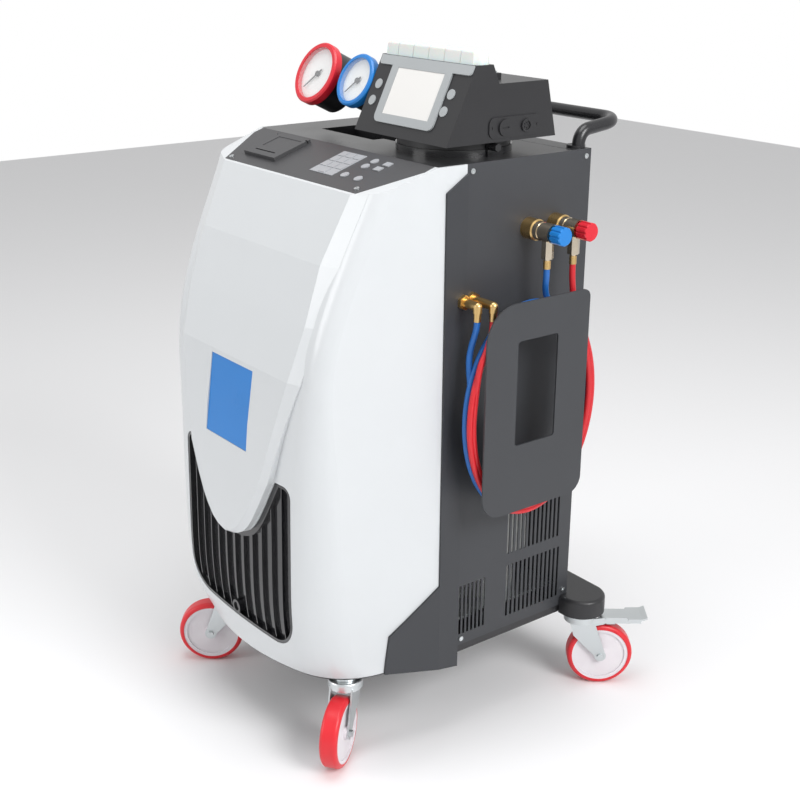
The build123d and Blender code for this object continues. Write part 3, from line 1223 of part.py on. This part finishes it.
def compressor():
    """A hermetic compressor: a domed can on a three-legged base, with its terminal box."""
    low = PAN_BOTTOM + PAN_FLOOR
    x, y = COMPRESSOR
    base = Pos(x, y, low + 12) * Box(170, 120, 4)
    feet = [Pos(x + dx, y + dy, low) * Cylinder(12, 12, align=LOW_END) for dx in (-70, 70) for dy in (-45, 45)]
    can = Pos(x, y, low + 13) * Cylinder(COMPRESSOR_RADIUS, COMPRESSOR_TOP - low - 13, align=LOW_END)
    can = chamfer(can.edges().filter_by(GeomType.CIRCLE), 2 * COMPRESSOR_WALL)
    can -= Pos(x, y, low + 13 + COMPRESSOR_WALL) * Cylinder(
        COMPRESSOR_RADIUS - 2 * COMPRESSOR_WALL, COMPRESSOR_TOP - low - 13 - 3 * COMPRESSOR_WALL, align=LOW_END)
    can -= Pos(x, y, COMPRESSOR_TOP - 5 * COMPRESSOR_WALL) * Cylinder(3, 100, align=LOW_END)
    terminal = box(x - COMPRESSOR_RADIUS - 24, x - COMPRESSOR_RADIUS + 12, y - 24, y + 24, low + 80, low + 140)
    stub = rod((x, y, COMPRESSOR_TOP - 2), (0, 0, 1), 40, 6) - rod((x, y, COMPRESSOR_TOP - 3), (0, 0, 1), 50, 3)
    return base + feet + can + terminal + stub


def vacuum_pump():
    """A two-stage vacuum pump: a finned motor and an oil case on a foot plate."""
    low = PAN_BOTTOM + PAN_FLOOR
    x, y = PUMP
    z = low + 22 + PUMP_RADIUS
    foot = Pos(x, y, low) * Box(90, PUMP_LENGTH, 6, align=LOW_END)
    saddle = Pos(x, y, low + 5) * Box(60, PUMP_LENGTH - 50, 30, align=LOW_END)
    motor = rod((x, y - PUMP_LENGTH / 2, z), (0, 1, 0), PUMP_LENGTH * 0.6, PUMP_RADIUS)
    for i in range(6):
        start = y - PUMP_LENGTH / 2 + 12 + i * 16
        groove = rod((x, start, z), (0, 1, 0), 6, PUMP_RADIUS + 1) - rod((x, start, z), (0, 1, 0), 6, PUMP_RADIUS - 5)
        motor -= groove
    case = box(x - 46, x + 46, y + PUMP_LENGTH * 0.1 - 1, y + PUMP_LENGTH / 2, z - 48, z + 44)
    case = fillet(case.edges().filter_by(Axis.Y), 10)
    port = rod((x, y + 60, z + 40), (0, 0, 1), 30, 10)
    return foot + saddle + motor + case + port


def valve_manifold():
    """The machined block behind the service ports, with its solenoid coils."""
    inner = INNER_HALF
    block = box(inner - MANIFOLD_DEPTH, inner, *MANIFOLD_Y, *MANIFOLD_Z)
    count = 4
    pitch = (MANIFOLD_Y[1] - MANIFOLD_Y[0]) / count
    x = inner - MANIFOLD_DEPTH / 2
    for i in range(count):
        y = MANIFOLD_Y[0] + (i + 0.5) * pitch
        block += rod((x, y, MANIFOLD_Z[1]), (0, 0, 1), SOLENOID_HEIGHT, 5)
        block += rod((x, y, MANIFOLD_Z[1] + 6), (0, 0, 1), SOLENOID_HEIGHT - 12, SOLENOID)
        block += rod((inner - MANIFOLD_DEPTH - 12, y, MANIFOLD_Z[0] + 20), (1, 0, 0), 13, 6)
    return block


def oil_bottles():
    """A shelf on the left panel with oil bottles and the filter drier."""
    wall = -INNER_HALF
    width = (BOTTLES + 1) * (2 * BOTTLE_RADIUS + 8)
    front = 270.0
    shelf = box(wall, wall + SHELF_DEPTH, front, front + width * 0.75, SHELF_Z, SHELF_Z + SHEET)
    shelf += box(wall, wall + SHEET, front, front + width * 0.75, SHELF_Z, SHELF_Z + 60)
    pieces = [shelf]
    for i in range(BOTTLES):
        y = front + (i + 0.5) * (2 * BOTTLE_RADIUS + 8)
        place = Pos(wall + SHELF_DEPTH / 2, y, SHELF_Z + SHEET)
        bottle = Cylinder(BOTTLE_RADIUS, BOTTLE_HEIGHT, align=LOW_END)
        bottle = chamfer(bottle.edges().filter_by(GeomType.CIRCLE).group_by(Axis.Z)[-1], 10)
        bottle += Pos(0, 0, BOTTLE_HEIGHT - 1) * Cylinder(14, 20, align=LOW_END)
        pieces.append(place * bottle)
    return pieces


def power_inlet():
    """The inlet socket with its three pins, and the rocker switch's frame above it."""
    back = CABINET_REAR + INLET_PROUD
    left, right = INLET_X - INLET_HALF, INLET_X + INLET_HALF
    low = INLET_Z - INLET_HALF
    high = ROCKER_Z + ROCKER_HALF[1] + 6
    plate = box(left, right, CABINET_REAR, back, low, high)
    plate += box(left + 5, right - 5, CABINET_REAR - INLET_DEPTH, CABINET_REAR + 1, low + 5, high - 5)
    plate -= box(INLET_X - 13, INLET_X + 13, back - 18, back + 1, INLET_Z - 9, INLET_Z + 9)
    gap = SEAT
    half_x, half_z = ROCKER_HALF
    plate -= box(INLET_X - half_x - gap, INLET_X + half_x + gap, back - 12, back + 1,
                 ROCKER_Z - half_z - gap, ROCKER_Z + half_z + gap)
    plate += rod((INLET_X - half_x - 1, back - 4, ROCKER_Z), (1, 0, 0), 2 * half_x + 2, ROCKER_PIN)
    for x in (-7, 0, 7):
        plate += box(INLET_X + x - 1, INLET_X + x + 1, back - 19, back - 5, INLET_Z - 2, INLET_Z + 2)
    return plate


def power_rocker():
    """The rocker: a shallow V of two faces on a pivot."""
    back = CABINET_REAR + INLET_PROUD
    half_x, half_z = ROCKER_HALF
    outline = Polyline((back - 7, -half_z + 2), (back + 2.5, -half_z + 0.8), (back - 0.5, 0), (back + 1, half_z - 0.8),
                       (back - 7, half_z - 2), close=True)
    rocker = Pos(INLET_X - half_x, 0, ROCKER_Z) * extrude(Plane.YZ * make_face(outline), 2 * half_x)
    return rocker - rod((INLET_X - half_x - 1, back - 4, ROCKER_Z), (1, 0, 0), 2 * half_x + 2,
                        ROCKER_PIN + RUNNING)


def panel_screws():
    """Screws of the side panels and of the console."""
    pieces = console_screws()
    spots = [(PANEL_FRONT + 12, PANEL_BOTTOM + 12), (CABINET_REAR - 12, BEAM_TOP + 12),
             (PANEL_FRONT + 12, DECK_TOP - 12), (CABINET_REAR - 12, DECK_TOP - 12)]
    for y, z in spots:
        place = Plane(origin=(CABINET_HALF, y, z), z_dir=(1, 0, 0))
        pieces += both_sides(screw(place.location))
    return pieces


def build_nodes():
    """Every node of the machine, each as a list of its solids."""
    outer = hull(0)
    nodes = {
        "base_pan": [base_pan()],
        "rear_beam": [rear_beam()],
        "side_panel_right": [vented_panel()],
        "side_panel_left": [mirror(side_panel(), about=Plane.YZ)],
        "rear_panel": [rear_panel()],
        "top_deck": [top_deck()],
        "front_shell": [front_shell(outer, hull(-SHELL_WALL))],
        "side_cheeks": side_cheeks(outer),
        "front_grille": [front_grille()],
        "badge_plate": [badge_plate()],
        "control_console": [control_console()],
        "keypad": keypad(),
        "printer": printer(),
        "printer_door": [printer_door()],
        "push_handle": [push_handle()],
        "turntable_base": [turntable_base()],
        "turntable_ring": [turntable_ring()],
        "lock_knob": [lock_knob()],
        "head_housing": [head_housing()],
        "head_fascia": head_fascia(),
        "screen_panel": [screen_panel()],
        "light_bar": [light_bar()],
        "side_ports": side_ports(),
        "gauge_cups": gauge_cups(),
        "gauge_dials": gauge_dials(),
        "gauge_lenses": gauge_lenses(),
        "hose_holder": [hose_holder()],
        "side_fittings": side_fittings(),
        "service_couplers": service_couplers(),
        "hose_ferrules": hose_ferrules(),
        "caster_stems": [caster_place(name) * caster_stem() for name in CASTERS],
        "tank_scale": tank_scale(),
        "refrigerant_tank": [refrigerant_tank()],
        "compressor": [compressor()],
        "vacuum_pump": [vacuum_pump()],
        "valve_manifold": [valve_manifold()],
        "oil_bottles": oil_bottles(),
        "power_inlet": [power_inlet()],
        "power_rocker": [power_rocker()],
        "panel_screws": panel_screws(),
    }
    for name in GAUGES:
        nodes[name + "_gauge_bezel"] = [gauge_bezel(name)]
        nodes[name + "_needle"] = [gauge_needle(name)]
    for name, y in PORT_Y.items():
        nodes[name + "_coupler_knob"] = [coupler_knob(y)]
        nodes[name + "_side_hose"] = [drop_hose(name)]
        nodes[name + "_side_coil"] = [hose_coil(name)]
    for name in CASTERS:
        braked = name.startswith("rear")
        place = caster_place(name)
        nodes["fork_" + name] = [place * piece for piece in caster_fork(braked)]
        nodes["wheel_" + name] = [place * piece for piece in caster_wheel()]
        if braked:
            nodes["brake_pedal_" + name[5:]] = [place * brake_pedal()]
    return nodes


def main():
    os.makedirs("parts", exist_ok=True)
    shift = Pos(-CENTRE_X, -CENTRE_Y, 0)
    for name, pieces in build_nodes().items():
        solids = [solid for piece in pieces for solid in piece.solids()]
        export_step(shift * Compound(solids), "parts/" + name + ".step")


main()
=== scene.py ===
# %% [markdown]
# # An air conditioning recharge station, dressed for its picture
#
# The machine is a wheeled steel cabinet with a moulded front. Its shapes, joints and sizes come from
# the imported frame, so this lesson loads that frame and works only on what the eye sees: finishes,
# hoses, dials, keys and the screen. Everything is in metres, +Z is up and the front faces -Y.

# %% Load the frame
import math

import bpy
from mathutils import Matrix, Vector


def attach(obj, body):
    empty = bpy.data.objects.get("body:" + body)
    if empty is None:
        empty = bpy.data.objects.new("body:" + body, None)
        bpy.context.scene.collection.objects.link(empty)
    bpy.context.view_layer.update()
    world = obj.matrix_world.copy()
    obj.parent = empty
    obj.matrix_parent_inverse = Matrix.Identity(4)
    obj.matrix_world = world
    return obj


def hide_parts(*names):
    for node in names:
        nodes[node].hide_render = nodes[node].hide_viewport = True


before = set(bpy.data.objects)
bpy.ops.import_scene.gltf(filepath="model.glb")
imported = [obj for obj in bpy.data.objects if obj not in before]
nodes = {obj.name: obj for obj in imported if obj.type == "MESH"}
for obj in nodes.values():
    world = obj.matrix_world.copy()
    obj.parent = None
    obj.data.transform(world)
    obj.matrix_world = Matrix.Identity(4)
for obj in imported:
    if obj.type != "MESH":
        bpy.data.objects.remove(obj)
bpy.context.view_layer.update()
print(len(nodes), "nodes in the frame")

# %% [markdown]
# The drawing of the cabinet counts millimetres from the cabinet's own centre plane. One small
# function turns such a point into the frame's metres, so that every size below can be written as it
# would be on the drawing.

# %% From the cabinet's millimetres to the frame
MILLIMETRE = 0.001
CENTRE_X = 5.85
CENTRE_Y = 278.38


def at(x, y, z):
    return Vector(((x - CENTRE_X) * MILLIMETRE, (y - CENTRE_Y) * MILLIMETRE, z * MILLIMETRE))


# %% [markdown]
# The camera looks at the machine from its front right, a little above the console. A camera can be
# aimed with a constraint, but here the three angles are known, so its axes are worked out from them.

# %% Camera
AZIMUTH = math.radians(52.54)
ELEVATION = math.radians(20.06)
ROLL = math.radians(0.4)
FOCAL_PIXELS = 1310
PICTURE_PIXELS = 800
SENSOR = 36.0

back = Vector((math.sin(AZIMUTH) * math.cos(ELEVATION), -math.cos(AZIMUTH) * math.cos(ELEVATION),
               math.sin(ELEVATION)))
level_right = Vector((math.cos(AZIMUTH), math.sin(AZIMUTH), 0))
level_up = back.cross(level_right)
right = level_right * math.cos(ROLL) + level_up * math.sin(ROLL)
up = level_up * math.cos(ROLL) - level_right * math.sin(ROLL)
lens_data = bpy.data.cameras.new("camera")
lens_data.sensor_width = SENSOR
lens_data.lens = FOCAL_PIXELS / PICTURE_PIXELS * SENSOR
camera = bpy.data.objects.new("camera", lens_data)
bpy.context.scene.collection.objects.link(camera)
turn = Matrix((right, up, back)).transposed()
camera.matrix_world = Matrix.Translation(at(1823, -1100, 1385)) @ turn.to_4x4()
bpy.context.scene.camera = camera
print("camera at", camera.location)

# %% [markdown]
# Shader maths reads best as plain sums. This class wraps one output of a node, and each operator adds
# the Math node that does the same, so a mask can be written as an expression.

# %% A socket that can be added, multiplied and compared


class Wire:
    def __init__(self, tree, socket):
        self.tree = tree
        self.socket = socket

    def node(self, kind, settings, inputs, output=0):
        made = self.tree.nodes.new(kind)
        for name, value in settings.items():
            setattr(made, name, value)
        for name, value in inputs.items():
            if isinstance(value, Wire):
                self.tree.links.new(value.socket, made.inputs[name])
            else:
                made.inputs[name].default_value = value
        return Wire(self.tree, made.outputs[output])

    def maths(self, operation, first, second=0.0):
        return self.node("ShaderNodeMath", {"operation": operation}, {0: first, 1: second})

    def __add__(self, other):
        return self.maths("ADD", self, other)

    def __radd__(self, other):
        return self.maths("ADD", other, self)

    def __sub__(self, other):
        return self.maths("SUBTRACT", self, other)

    def __rsub__(self, other):
        return self.maths("SUBTRACT", other, self)

    def __mul__(self, other):
        return self.maths("MULTIPLY", self, other)

    def __rmul__(self, other):
        return self.maths("MULTIPLY", other, self)

    def __truediv__(self, other):
        return self.maths("DIVIDE", self, other)

    def __gt__(self, other):
        return self.maths("GREATER_THAN", self, other)

    def __lt__(self, other):
        return self.maths("LESS_THAN", self, other)

    def absolute(self):
        return self.maths("ABSOLUTE", self)

    def within(self, low, high):
        return (self > low) * (self < high)

    def either(self, other):
        return self.maths("MAXIMUM", self, other)


class Finish:
    """One material: its surface shader, and where each point of the surface lies in the frame."""

    def __init__(self, name):
        self.material = bpy.data.materials.new(name)
        self.material.use_nodes = True
        self.tree = self.material.node_tree
        self.surface = self.tree.nodes["Principled BSDF"]
        self.place = self.wire("ShaderNodeTexCoord", {}, {}, "Object")
        parts = self.tree.nodes.new("ShaderNodeSeparateXYZ")
        self.tree.links.new(self.place.socket, parts.inputs[0])
        self.x, self.y, self.z = [Wire(self.tree, socket) for socket in parts.outputs]

    def wire(self, kind, settings, inputs, output=0):
        return Wire(self.tree, None).node(kind, settings, inputs, output)

    def set(self, socket, value):
        if isinstance(value, Wire):
            self.tree.links.new(value.socket, self.surface.inputs[socket])
        else:
            self.surface.inputs[socket].default_value = value
        return self

    def noise(self, size, detail=2.0, stretch=(1, 1, 1)):
        """A soft cloud of values from 0 to 1, with lumps of about that size in metres."""
        place = self.wire("ShaderNodeMapping", {}, {"Vector": self.place, "Scale": stretch})
        return self.wire("ShaderNodeTexNoise", {}, {"Vector": place, "Scale": 1 / size, "Detail": detail})

    def mix(self, mask, first, second):
        """The first colour where the mask is 0, the second where it is 1."""
        return self.wire("ShaderNodeMix", {"data_type": "RGBA"}, {0: mask, 6: first, 7: second}, 2)

    def bump(self, height, depth, strength=1.0):
        """Height from 0 to 1 stands for that depth in metres."""
        return self.wire("ShaderNodeBump", {}, {"Height": height, "Distance": depth, "Strength": strength})

    def distance(self, centre):
        """How far each point is from a centre."""
        return self.wire("ShaderNodeVectorMath", {"operation": "DISTANCE"}, {0: self.place, 1: centre}, "Value")


def colour(red, green, blue):
    return (red, green, blue, 1.0)


# %% [markdown]
# Most of the machine is moulded plastic or powder coat. Both are a base colour with a fine grain in
# the surface, a slow change of tone over hand-sized patches, and a gloss that varies a little where
# hands have polished it. One function makes them all, with the grain's size and depth as its values.

# %% Grained finishes
GRAIN = 0.0009
PATCH = 0.12


def grained(name, base, roughness, grain_depth, grain=GRAIN, vary=0.12, coat=0.0, metallic=0.0, fine=2.0):
    finish = Finish(name)
    patches = finish.noise(PATCH)
    grains = finish.noise(grain, fine)
    darker = colour(*[value * (1 - vary) for value in base])
    lighter = colour(*[min(1.0, value * (1 + vary)) for value in base])
    finish.set("Base Color", finish.mix(patches, darker, lighter))
    finish.set("Roughness", roughness + 0.1 * (patches - 0.5) + 0.06 * (grains - 0.5))
    finish.set("Normal", finish.bump(grains, grain_depth))
    finish.set("Metallic", metallic)
    finish.set("Coat Weight", coat)
    finish.set("Coat Roughness", 0.12)
    return finish


def wear(finish, material_node, *names):
    """Puts a finish on one or more CAD nodes."""
    for name in names:
        mesh = nodes[name].data
        mesh.materials.clear()
        mesh.materials.append(finish.material)


def put_on(finish, *names):
    for name in names:
        mesh = nodes[name].data
        mesh.materials.clear()
        mesh.materials.append(finish.material)


pearl = grained("pearl_paint", (0.60, 0.62, 0.635), 0.32, 0.00001, grain=0.0012, vary=0.015, coat=0.35)
charcoal = grained("charcoal_powder_coat", (0.035, 0.037, 0.042), 0.5, 0.00006, grain=0.0014)
cheek_plastic = grained("cheek_plastic", (0.03, 0.032, 0.037), 0.48, 0.00008, grain=0.0016)
black_plastic = grained("black_plastic", (0.016, 0.016, 0.018), 0.38, 0.00005)
black_gloss = grained("black_gloss", (0.012, 0.012, 0.014), 0.16, 0.00001, coat=0.4)
deck_coat = grained("deck_coat", (0.028, 0.028, 0.03), 0.3, 0.00003, grain=0.0011)
console_plastic = grained("console_plastic", (0.05, 0.05, 0.053), 0.45, 0.00008, grain=0.0012)
handle_coat = grained("handle_coat", (0.014, 0.014, 0.016), 0.28, 0.00002)
fascia_paint = grained("fascia_paint", (0.36, 0.38, 0.39), 0.35, 0.00002, vary=0.04)
zinc = grained("zinc_plate", (0.60, 0.63, 0.64), 0.3, 0.00001, vary=0.14, metallic=0.95)
print("grained finishes made")

put_on(pearl, "front_shell")
put_on(charcoal, "side_panel_right", "side_panel_left", "rear_panel", "hose_holder")
put_on(cheek_plastic, "side_cheeks")
put_on(black_plastic, "base_pan", "rear_beam", "turntable_ring", "lock_knob", "head_housing", "gauge_cups",
       "side_ports", "power_inlet", "power_rocker")
put_on(black_gloss, "turntable_base", "front_grille")
put_on(deck_coat, "top_deck")
put_on(console_plastic, "control_console", "printer", "printer_door")
put_on(handle_coat, "push_handle")
put_on(fascia_paint, "head_fascia")
put_on(zinc, "caster_stems", "panel_screws", "tank_scale", "brake_pedal_left", "brake_pedal_right",
       *["fork_" + name for name in ("front_left", "front_right", "rear_left", "rear_right")])

# %% [markdown]
# The couplers are turned brass under a thin nickel plate, warm where the plate is thin. The elbows and
# ferrules are plain brass. Metals need little colour change, but their roughness should drift, and a
# fine noise gives the marks of the lathe.

# %% Metals and inner parts
brass = grained("turned_brass", (0.66, 0.45, 0.19), 0.28, 0.00002, grain=0.0006, vary=0.1, metallic=1.0)
nickel = grained("nickel_plate", (0.66, 0.58, 0.46), 0.2, 0.00001, grain=0.0006, vary=0.12, metallic=1.0)
machined = grained("machined_aluminium", (0.6, 0.61, 0.62), 0.34, 0.00002, metallic=1.0, vary=0.06)
tank_paint = grained("tank_paint", (0.62, 0.63, 0.62), 0.35, 0.00003, vary=0.05)
pump_paint = grained("pump_paint", (0.08, 0.11, 0.2), 0.4, 0.00004)
bottle_plastic = grained("bottle_plastic", (0.62, 0.62, 0.56), 0.4, 0.00002)
put_on(brass, "side_fittings", "hose_ferrules")
put_on(nickel, "service_couplers")
put_on(machined, "valve_manifold")
put_on(tank_paint, "refrigerant_tank")
put_on(pump_paint, "vacuum_pump")
put_on(black_plastic, "compressor")
put_on(bottle_plastic, "oil_bottles")

# %% [markdown]
# Low pressure is blue and high pressure is red on every machine of this kind: gauge rims, knobs and
# hoses all follow it.

# %% Pressure colours
blue_plastic = grained("blue_plastic", (0.012, 0.19, 0.56), 0.3, 0.00002, vary=0.05)
red_plastic = grained("red_plastic", (0.62, 0.015, 0.03), 0.3, 0.00002, vary=0.05)
blue_rubber = grained("blue_rubber", (0.01, 0.12, 0.42), 0.38, 0.00002, vary=0.06)
red_rubber = grained("red_rubber", (0.58, 0.012, 0.02), 0.38, 0.00002, vary=0.06)
put_on(blue_plastic, "low_gauge_bezel", "low_coupler_knob", "badge_plate")
put_on(red_plastic, "high_gauge_bezel", "high_coupler_knob")

# %% [markdown]
# Each charging hose is one free length. It leaves its coupler, hangs straight down, joins the oval
# coil behind the holder plate, goes round it nearly twice and rises to its bulkhead elbow. A NURBS
# curve draws such a line: the points at the two ends are listed, and a loop makes the turns.

# %% Hoses
HOSE_DIAMETER = 10.6
COIL_CENTRE = (337.0, 615.0)
COIL_OUTER = (147.0, 195.0)
POINTS_PER_TURN = 20
COIL_SHIFT = 11.6


def oval_turns(plane_x, first_angle, last_angle, first_inset, last_inset, sway):
    """Points of the turns, clockwise as seen from the machine's right side."""
    count = round(abs(first_angle - last_angle) / 360 * POINTS_PER_TURN)
    points = []
    for step in range(count + 1):
        share = step / count
        angle = math.radians(first_angle + (last_angle - first_angle) * share)
        inset = first_inset + (last_inset - first_inset) * share
        bulge = 1 / math.cos(math.pi / POINTS_PER_TURN)
        half_y = (COIL_OUTER[0] - inset) * bulge
        half_z = (COIL_OUTER[1] - inset) * bulge
        points.append((plane_x + sway * math.sin(angle * 0.5), COIL_CENTRE[0] + half_y * math.cos(angle),
                       COIL_CENTRE[1] + half_z * math.sin(angle)))
    return points


def hose_curve(name, points, finish):
    curve = bpy.data.curves.new(name, "CURVE")
    curve.dimensions = "3D"
    spline = curve.splines.new("NURBS")
    spline.points.add(len(points) - 1)
    for target, point in zip(spline.points, points):
        target.co = (*at(*point), 1.0)
    spline.order_u = 3
    spline.use_endpoint_u = True
    spline.resolution_u = 8
    curve.bevel_depth = HOSE_DIAMETER / 2 * MILLIMETRE
    curve.bevel_resolution = 5
    curve.use_fill_caps = True
    curve.materials.append(finish.material)
    hose = bpy.data.objects.new(name, curve)
    bpy.context.scene.collection.objects.link(hose)
    return hose


blue_points = [(308.0, 362.0, 852.0), (308.0, 362.0, 836.5), (305.5, 363.0, 820.0), (302.5, 369.0, 802.0),
               (301.8, 384.0, 787.0)]
blue_points += oval_turns(301.8, 52, -556, 6.0, 17.6, 0.0)
blue_points += [(293.0, 211.5, 716.0), (291.5, 217.0, 738.0), (295.5, 219.8, 757.0), (301.0, 220.0, 772.0),
                (301.75, 220.0, 785.0)]
red_points = [(308.0, 421.0, 852.0), (308.0, 421.0, 834.0), (310.6, 421.0, 814.0), (312.9, 421.6, 794.0),
              (313.8, 426.0, 772.0), (313.8, 436.0, 752.0)]
red_points += oval_turns(313.8, 36, -556, 6.0, 17.6, 0.0)
red_points += [(321.5, 211.0, 716.0), (325.0, 221.0, 738.0), (321.0, 232.0, 757.0), (314.8, 242.0, 770.0),
               (313.75, 243.0, 785.0)]
blue_hose = hose_curve("blue_hose", blue_points, blue_rubber)
red_hose = hose_curve("red_hose", red_points, red_rubber)


def curve_length(hose):
    line = hose.copy()
    line.data = hose.data.copy()
    line.data.bevel_depth = 0
    bpy.context.scene.collection.objects.link(line)
    mesh = bpy.data.meshes.new_from_object(line.evaluated_get(bpy.context.evaluated_depsgraph_get()))
    total = sum((mesh.vertices[a].co - mesh.vertices[b].co).length for a, b in (e.vertices for e in mesh.edges))
    bpy.data.objects.remove(line)
    return total


hoses = [("low", blue_hose, blue_points), ("high", red_hose, red_points)]
for side, hose, points in hoses:
    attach(hose, "cabinet")
    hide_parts(side + "_side_hose", side + "_side_coil")
    length = round(curve_length(hose), 3)
    at(*points[0])
    print(hose.name, "is", length, "m long")

# %% [markdown]
# A caster wheel is a hard red tyre cast on a milky nylon body. Both are one piece in the frame, so the
# finish reads how far each point is from the axle and changes colour at the tyre's inner edge.

# %% Wheels
AXLE_HEIGHT = 62.5
TRAIL = 40.0
TYRE_INNER = 0.0535
CASTERS = {"front_left": (-196.0, 31.0, -127.4), "front_right": (196.0, 31.0, -53.4),
           "rear_left": (-275.0, 524.0, 120.0), "rear_right": (275.0, 524.0, 52.6)}


def wheel_finish(name, x, y, angle):
    trailing = math.radians(angle)
    centre = at(x + TRAIL * math.cos(trailing), y + TRAIL * math.sin(trailing), AXLE_HEIGHT)
    axle = (-math.sin(trailing), math.cos(trailing), 0)
    finish = Finish("wheel_" + name)
    arm = finish.wire("ShaderNodeVectorMath", {"operation": "SUBTRACT"}, {0: finish.place, 1: centre})
    across = finish.wire("ShaderNodeVectorMath", {"operation": "CROSS_PRODUCT"}, {0: arm, 1: axle})
    radius = finish.wire("ShaderNodeVectorMath", {"operation": "LENGTH"}, {0: across}, "Value")
    is_tyre = radius > TYRE_INNER
    cloud = finish.noise(0.03)
    tyre = finish.mix(cloud, colour(0.62, 0.012, 0.022), colour(0.72, 0.02, 0.03))
    hub = finish.mix(cloud, colour(0.70, 0.64, 0.68), colour(0.76, 0.74, 0.76))
    finish.set("Base Color", finish.mix(is_tyre, hub, tyre))
    finish.set("Roughness", 0.42 - 0.1 * is_tyre + 0.08 * cloud)
    finish.set("Normal", finish.bump(finish.noise(0.001), 0.00002))
    return finish


for name, (x, y, angle) in CASTERS.items():
    put_on(wheel_finish(name, x, y, angle), "wheel_" + name)

# %% [markdown]
# The light bar is frosted plastic: pale, soft and a little see-through, so it gets a touch of light
# that passes under its skin. The lenses are clear, the dials white.

# %% Frosted, clear and white parts
frost = grained("frosted_plastic", (0.66, 0.70, 0.68), 0.42, 0.00004, grain=0.0016, vary=0.04)
frost.set("Subsurface Weight", 0.25)
put_on(frost, "light_bar")
lens = Finish("clear_lens")
lens.set("Base Color", colour(0.96, 0.98, 1.0))
lens.set("Alpha", 0.12)
lens.set("Roughness", 0.03)
put_on(lens, "gauge_lenses")
dial_white = grained("dial_white", (0.78, 0.79, 0.78), 0.5, 0.00001, vary=0.02)
put_on(dial_white, "gauge_dials")
needle_black = grained("needle_black", (0.01, 0.01, 0.012), 0.4, 0.00001)
put_on(needle_black, "high_needle", "low_needle")
screen_glow = grained("screen_panel", (0.75, 0.74, 0.72), 0.15, 0.00001, vary=0.01)
put_on(screen_glow, "screen_panel")
key_grey = grained("key_grey", (0.34, 0.35, 0.37), 0.4, 0.00002)
put_on(key_grey, "keypad")

# %% [markdown]
# The picture is a plain product shot: white ground, one broad light from the machine's right, a weaker
# one from its front, and an even pale sky that fills the shadows.

# %% Floor, sky and lamps
FLOOR_HALF = 6.0
bpy.ops.object.select_all(action="DESELECT")
bpy.ops.mesh.primitive_plane_add(size=2 * FLOOR_HALF, location=(0, 0, 0))
floor = bpy.context.object
floor.name = "floor"
floor_finish = Finish("floor")
floor_finish.set("Base Color", colour(0.86, 0.86, 0.87))
floor_finish.set("Roughness", 0.6)
floor.data.materials.append(floor_finish.material)

world = bpy.data.worlds.new("sky")
bpy.context.scene.world = world
world.use_nodes = True
sky = world.node_tree
sky_wire = Wire(sky, None)
ray = sky.nodes.new("ShaderNodeLightPath")
seen = Wire(sky, ray.outputs["Is Camera Ray"]).either(Wire(sky, ray.outputs["Is Glossy Ray"]) * 0.6)
seen = seen.either(Wire(sky, ray.outputs["Is Transmission Ray"]))
ground = sky.nodes["Background"]
ground.inputs["Color"].default_value = colour(1.0, 1.0, 1.0)
sky.links.new((0.55 + 0.45 * seen).socket, ground.inputs["Strength"])


def soft_light(name, place, aim, size, power):
    data = bpy.data.lights.new(name, "AREA")
    data.shape = "DISK"
    data.size = size
    data.energy = power
    lamp = bpy.data.objects.new(name, data)
    lamp.location = place
    lamp.rotation_euler = (Vector(aim) - Vector(place)).to_track_quat("-Z", "Y").to_euler()
    bpy.context.scene.collection.objects.link(lamp)
    return lamp


soft_light("key_light", (3.2, 0.2, 2.6), (0, 0, 0.6), 1.8, 95)
soft_light("fill_light", (-1.2, -3.6, 1.8), (0, 0, 0.6), 2.0, 40)
soft_light("top_light", (0.2, -0.3, 3.6), (0, 0, 0.6), 2.0, 45)
bpy.context.scene.view_settings.view_transform = "Standard"
